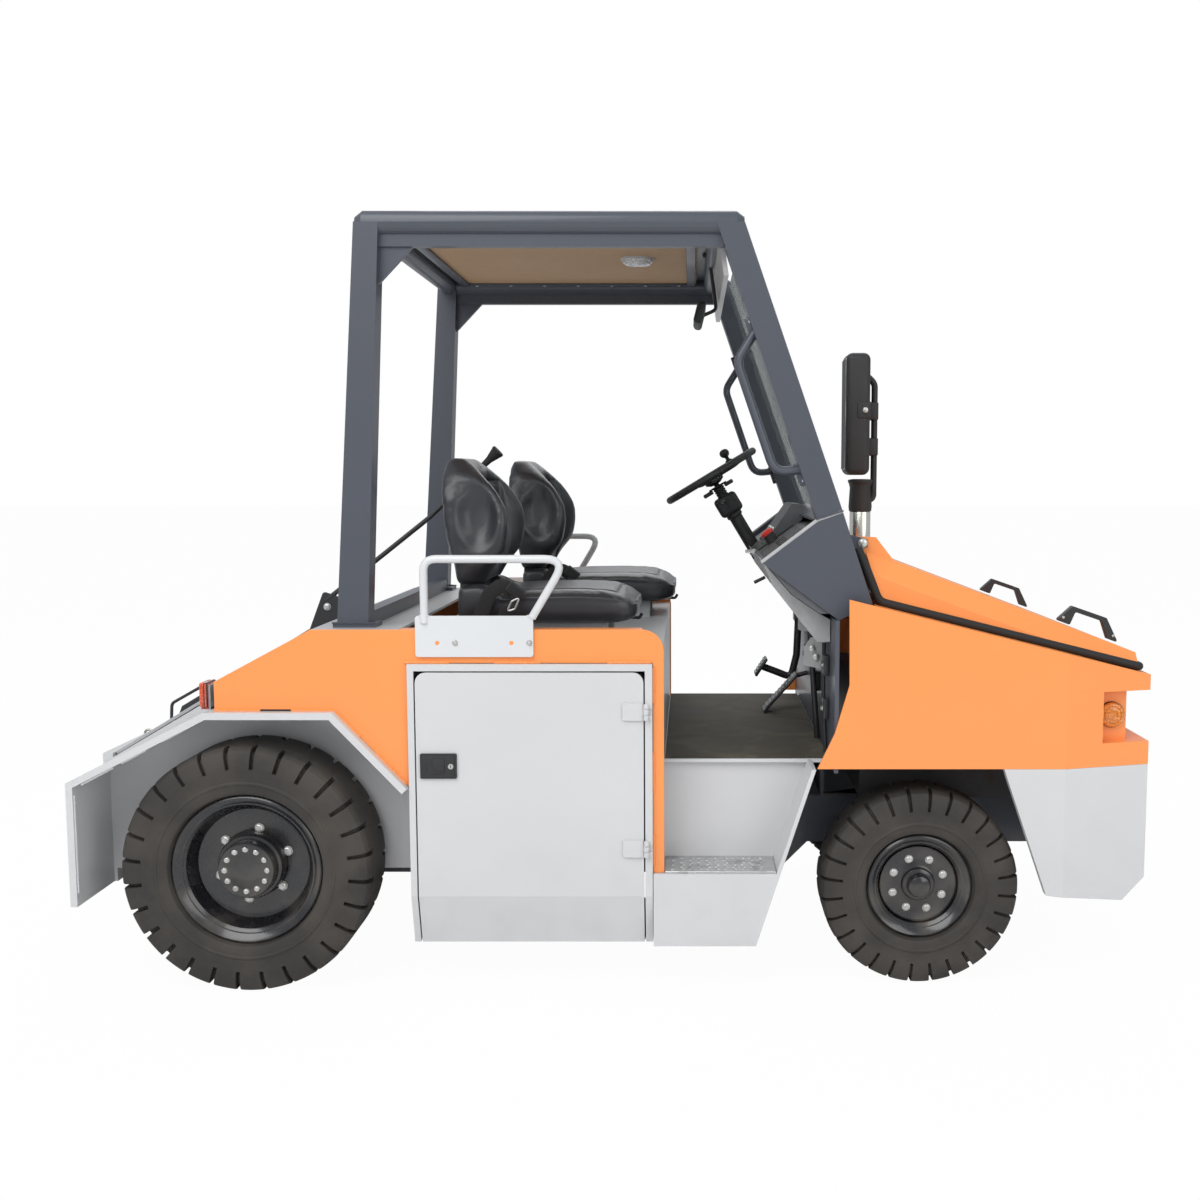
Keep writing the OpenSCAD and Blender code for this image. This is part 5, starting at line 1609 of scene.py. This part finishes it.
class TRACTOR_OT_mirror(Maker):
    """Outer mirror on its collar and arm"""

    bl_idname = "tractor.mirror"
    bl_label = "Outer mirror"

    POST = Vector((0.941, 0.649, 0.0))

    def build(self, context):
        bm = bmesh.new()
        x, y = self.POST.x, self.POST.y
        collar = [
            (0.0, 1.355), (0.0425, 1.355), (0.0445, 1.372), (0.0405, 1.445), (0.0440, 1.460), (0.0485, 1.468),
            (0.0470, 1.475), (0.030, 1.478), (0.0, 1.478),
        ]
        add_lathe(bm, collar, self.POST, 48, axis="Z")
        low, high = Vector((0.873, y - 0.085, 1.493)), Vector((0.966, y + 0.065, 1.950))
        add_box(bm, low, high, 0.026, 5)
        glass_low = low + Vector((-0.0012, 0.014, 0.022))
        glass_high = (low.x + 0.004, high.y - 0.014, high.z - 0.022)
        add_box(bm, glass_low, glass_high, 0.001, 1, 1)
        arm = [(x + 0.020, 1.392), (0.991, 1.404), (0.991, 1.840), (0.958, 1.872)]
        add_tube(bm, from_side(arm, y), (0.012, 0.015), 0.040, 14, flat=(1, 0, 0))
        for z in (1.600, 1.735):
            add_box(bm, (0.944, y - 0.024, z - 0.034), (1.004, y + 0.024, z + 0.034), 0.006, 3)
        add_box(bm, (0.914, low.y - 0.003, 1.705), (0.966, low.y + 0.004, 1.768), 0.004, 3)
        add_bolt(bm, (0.945, low.y - 0.003, 1.736), (0, -1, 0), 0.009, 2)
        finish_piece(
            "outer_mirror_head", bm, "chassis", ["black_plastic", "mirror_face", "zinc"],
            ("outer_mirror",), 40.0,
        )


class TRACTOR_OT_belts(Maker):
    """Lap belts, buckles, seat frames, slide levers and a black block that paints the shade between back and
    cushion
    """

    bl_idname = "tractor.belts"
    bl_label = "Belts and seat frames"

    def build(self, context):
        bm = bmesh.new()
        self.fittings(bm)
        seats = TRACTOR_OT_seats
        moved, _ = duplicated(bm)
        bmesh.ops.translate(bm, vec=(seats.SLIDE, 2 * seats.SEAT_Y, 0.0), verts=moved)
        finish_piece(
            "seat_fittings", bm, "chassis", ["webbing", "black_steel", "zinc", "black_plastic"],
            smooth=45.0, bevel=0.0008,
        )

    def fittings(self, bm):
        """Fittings of the near seat."""
        y = -0.576
        strap = [(-0.330, 1.070), (-0.296, 1.150), (-0.258, 1.176), (-0.226, 1.150)]
        add_tube(bm, from_side(strap, y), (0.0028, 0.021), 0.030, 12, 0, flat=(0, 1, 0))
        box = add_box(bm, (-0.025, y - 0.011, -0.017), (0.025, y + 0.008, 0.017), 0.004, 3, 3)
        turn = Matrix.Rotation(math.radians(38), 4, "Y")
        bmesh.ops.transform(bm, matrix=Matrix.Translation((-0.222, 0, 1.158)) @ turn, verts=box)
        ring = [(-0.232, 1.126), (-0.208, 1.138), (-0.222, 1.104), (-0.246, 1.096)]
        add_tube(bm, from_side([*ring, ring[0]], y - 0.009), 0.0032, 0.006, 10, 2)
        tail = [(-0.246, y - 0.004, 1.098), (-0.262, y, 1.070), (-0.270, y, 1.058)]
        add_tube(bm, tail, (0.0026, 0.018), sides=12, index=0, flat=(0, 1, 0))
        for out in SIDES.values():
            plate = [(-0.400, 1.050), (-0.330, 1.050), (-0.350, 1.190), (-0.392, 1.230)]
            centre = -0.330 + out * 0.170
            add_side_slab(bm, plate, centre - 0.005, centre + 0.005, 0.012, 1)
        # A black block where the recliner brackets sit, also standing in as painted shade for the dark gap
        # between back and cushion.
        add_box(bm, (-0.398, -0.490, 1.090), (-0.352, -0.170, 1.215), 0.010, 3, 1)
        lever = [(0.060, -0.270, 1.046), (0.128, -0.270, 1.044), (0.136, -0.270, 1.058)]
        add_tube(bm, lever, 0.005, 0.008, 10, 1)


OPERATORS = [
    TRACTOR_OT_stage, TRACTOR_OT_finishes, TRACTOR_OT_tyres, TRACTOR_OT_rims, TRACTOR_OT_seats,
    TRACTOR_OT_armrests, TRACTOR_OT_cab, TRACTOR_OT_hood, TRACTOR_OT_doors, TRACTOR_OT_steps,
    TRACTOR_OT_steering, TRACTOR_OT_dash, TRACTOR_OT_lamps, TRACTOR_OT_rear, TRACTOR_OT_mirror,
    TRACTOR_OT_belts,
]


class TRACTOR_PT_panel(bpy.types.Panel):
    """Lists the tractor's operators"""

    bl_idname = "TRACTOR_PT_panel"
    bl_label = "Tow Tractor"
    bl_space_type = "VIEW_3D"
    bl_region_type = "UI"
    bl_category = "Tractor"

    def draw(self, context):
        for step in OPERATORS:
            self.layout.operator(step.bl_idname)


CLASSES = [TractorColors, TractorSizes, *OPERATORS, TRACTOR_PT_panel]


def register():
    for cls in CLASSES:
        bpy.utils.register_class(cls)
    bpy.types.Scene.tractor_colors = bpy.props.PointerProperty(type=TractorColors)
    bpy.types.Scene.tractor_sizes = bpy.props.PointerProperty(type=TractorSizes)


def unregister():
    del bpy.types.Scene.tractor_sizes
    del bpy.types.Scene.tractor_colors
    for cls in reversed(CLASSES):
        bpy.utils.unregister_class(cls)


def main():
    register()
    for step in OPERATORS:
        getattr(bpy.ops.tractor, step.bl_idname.split(".")[1])()


if __name__ == "__main__":
    main()
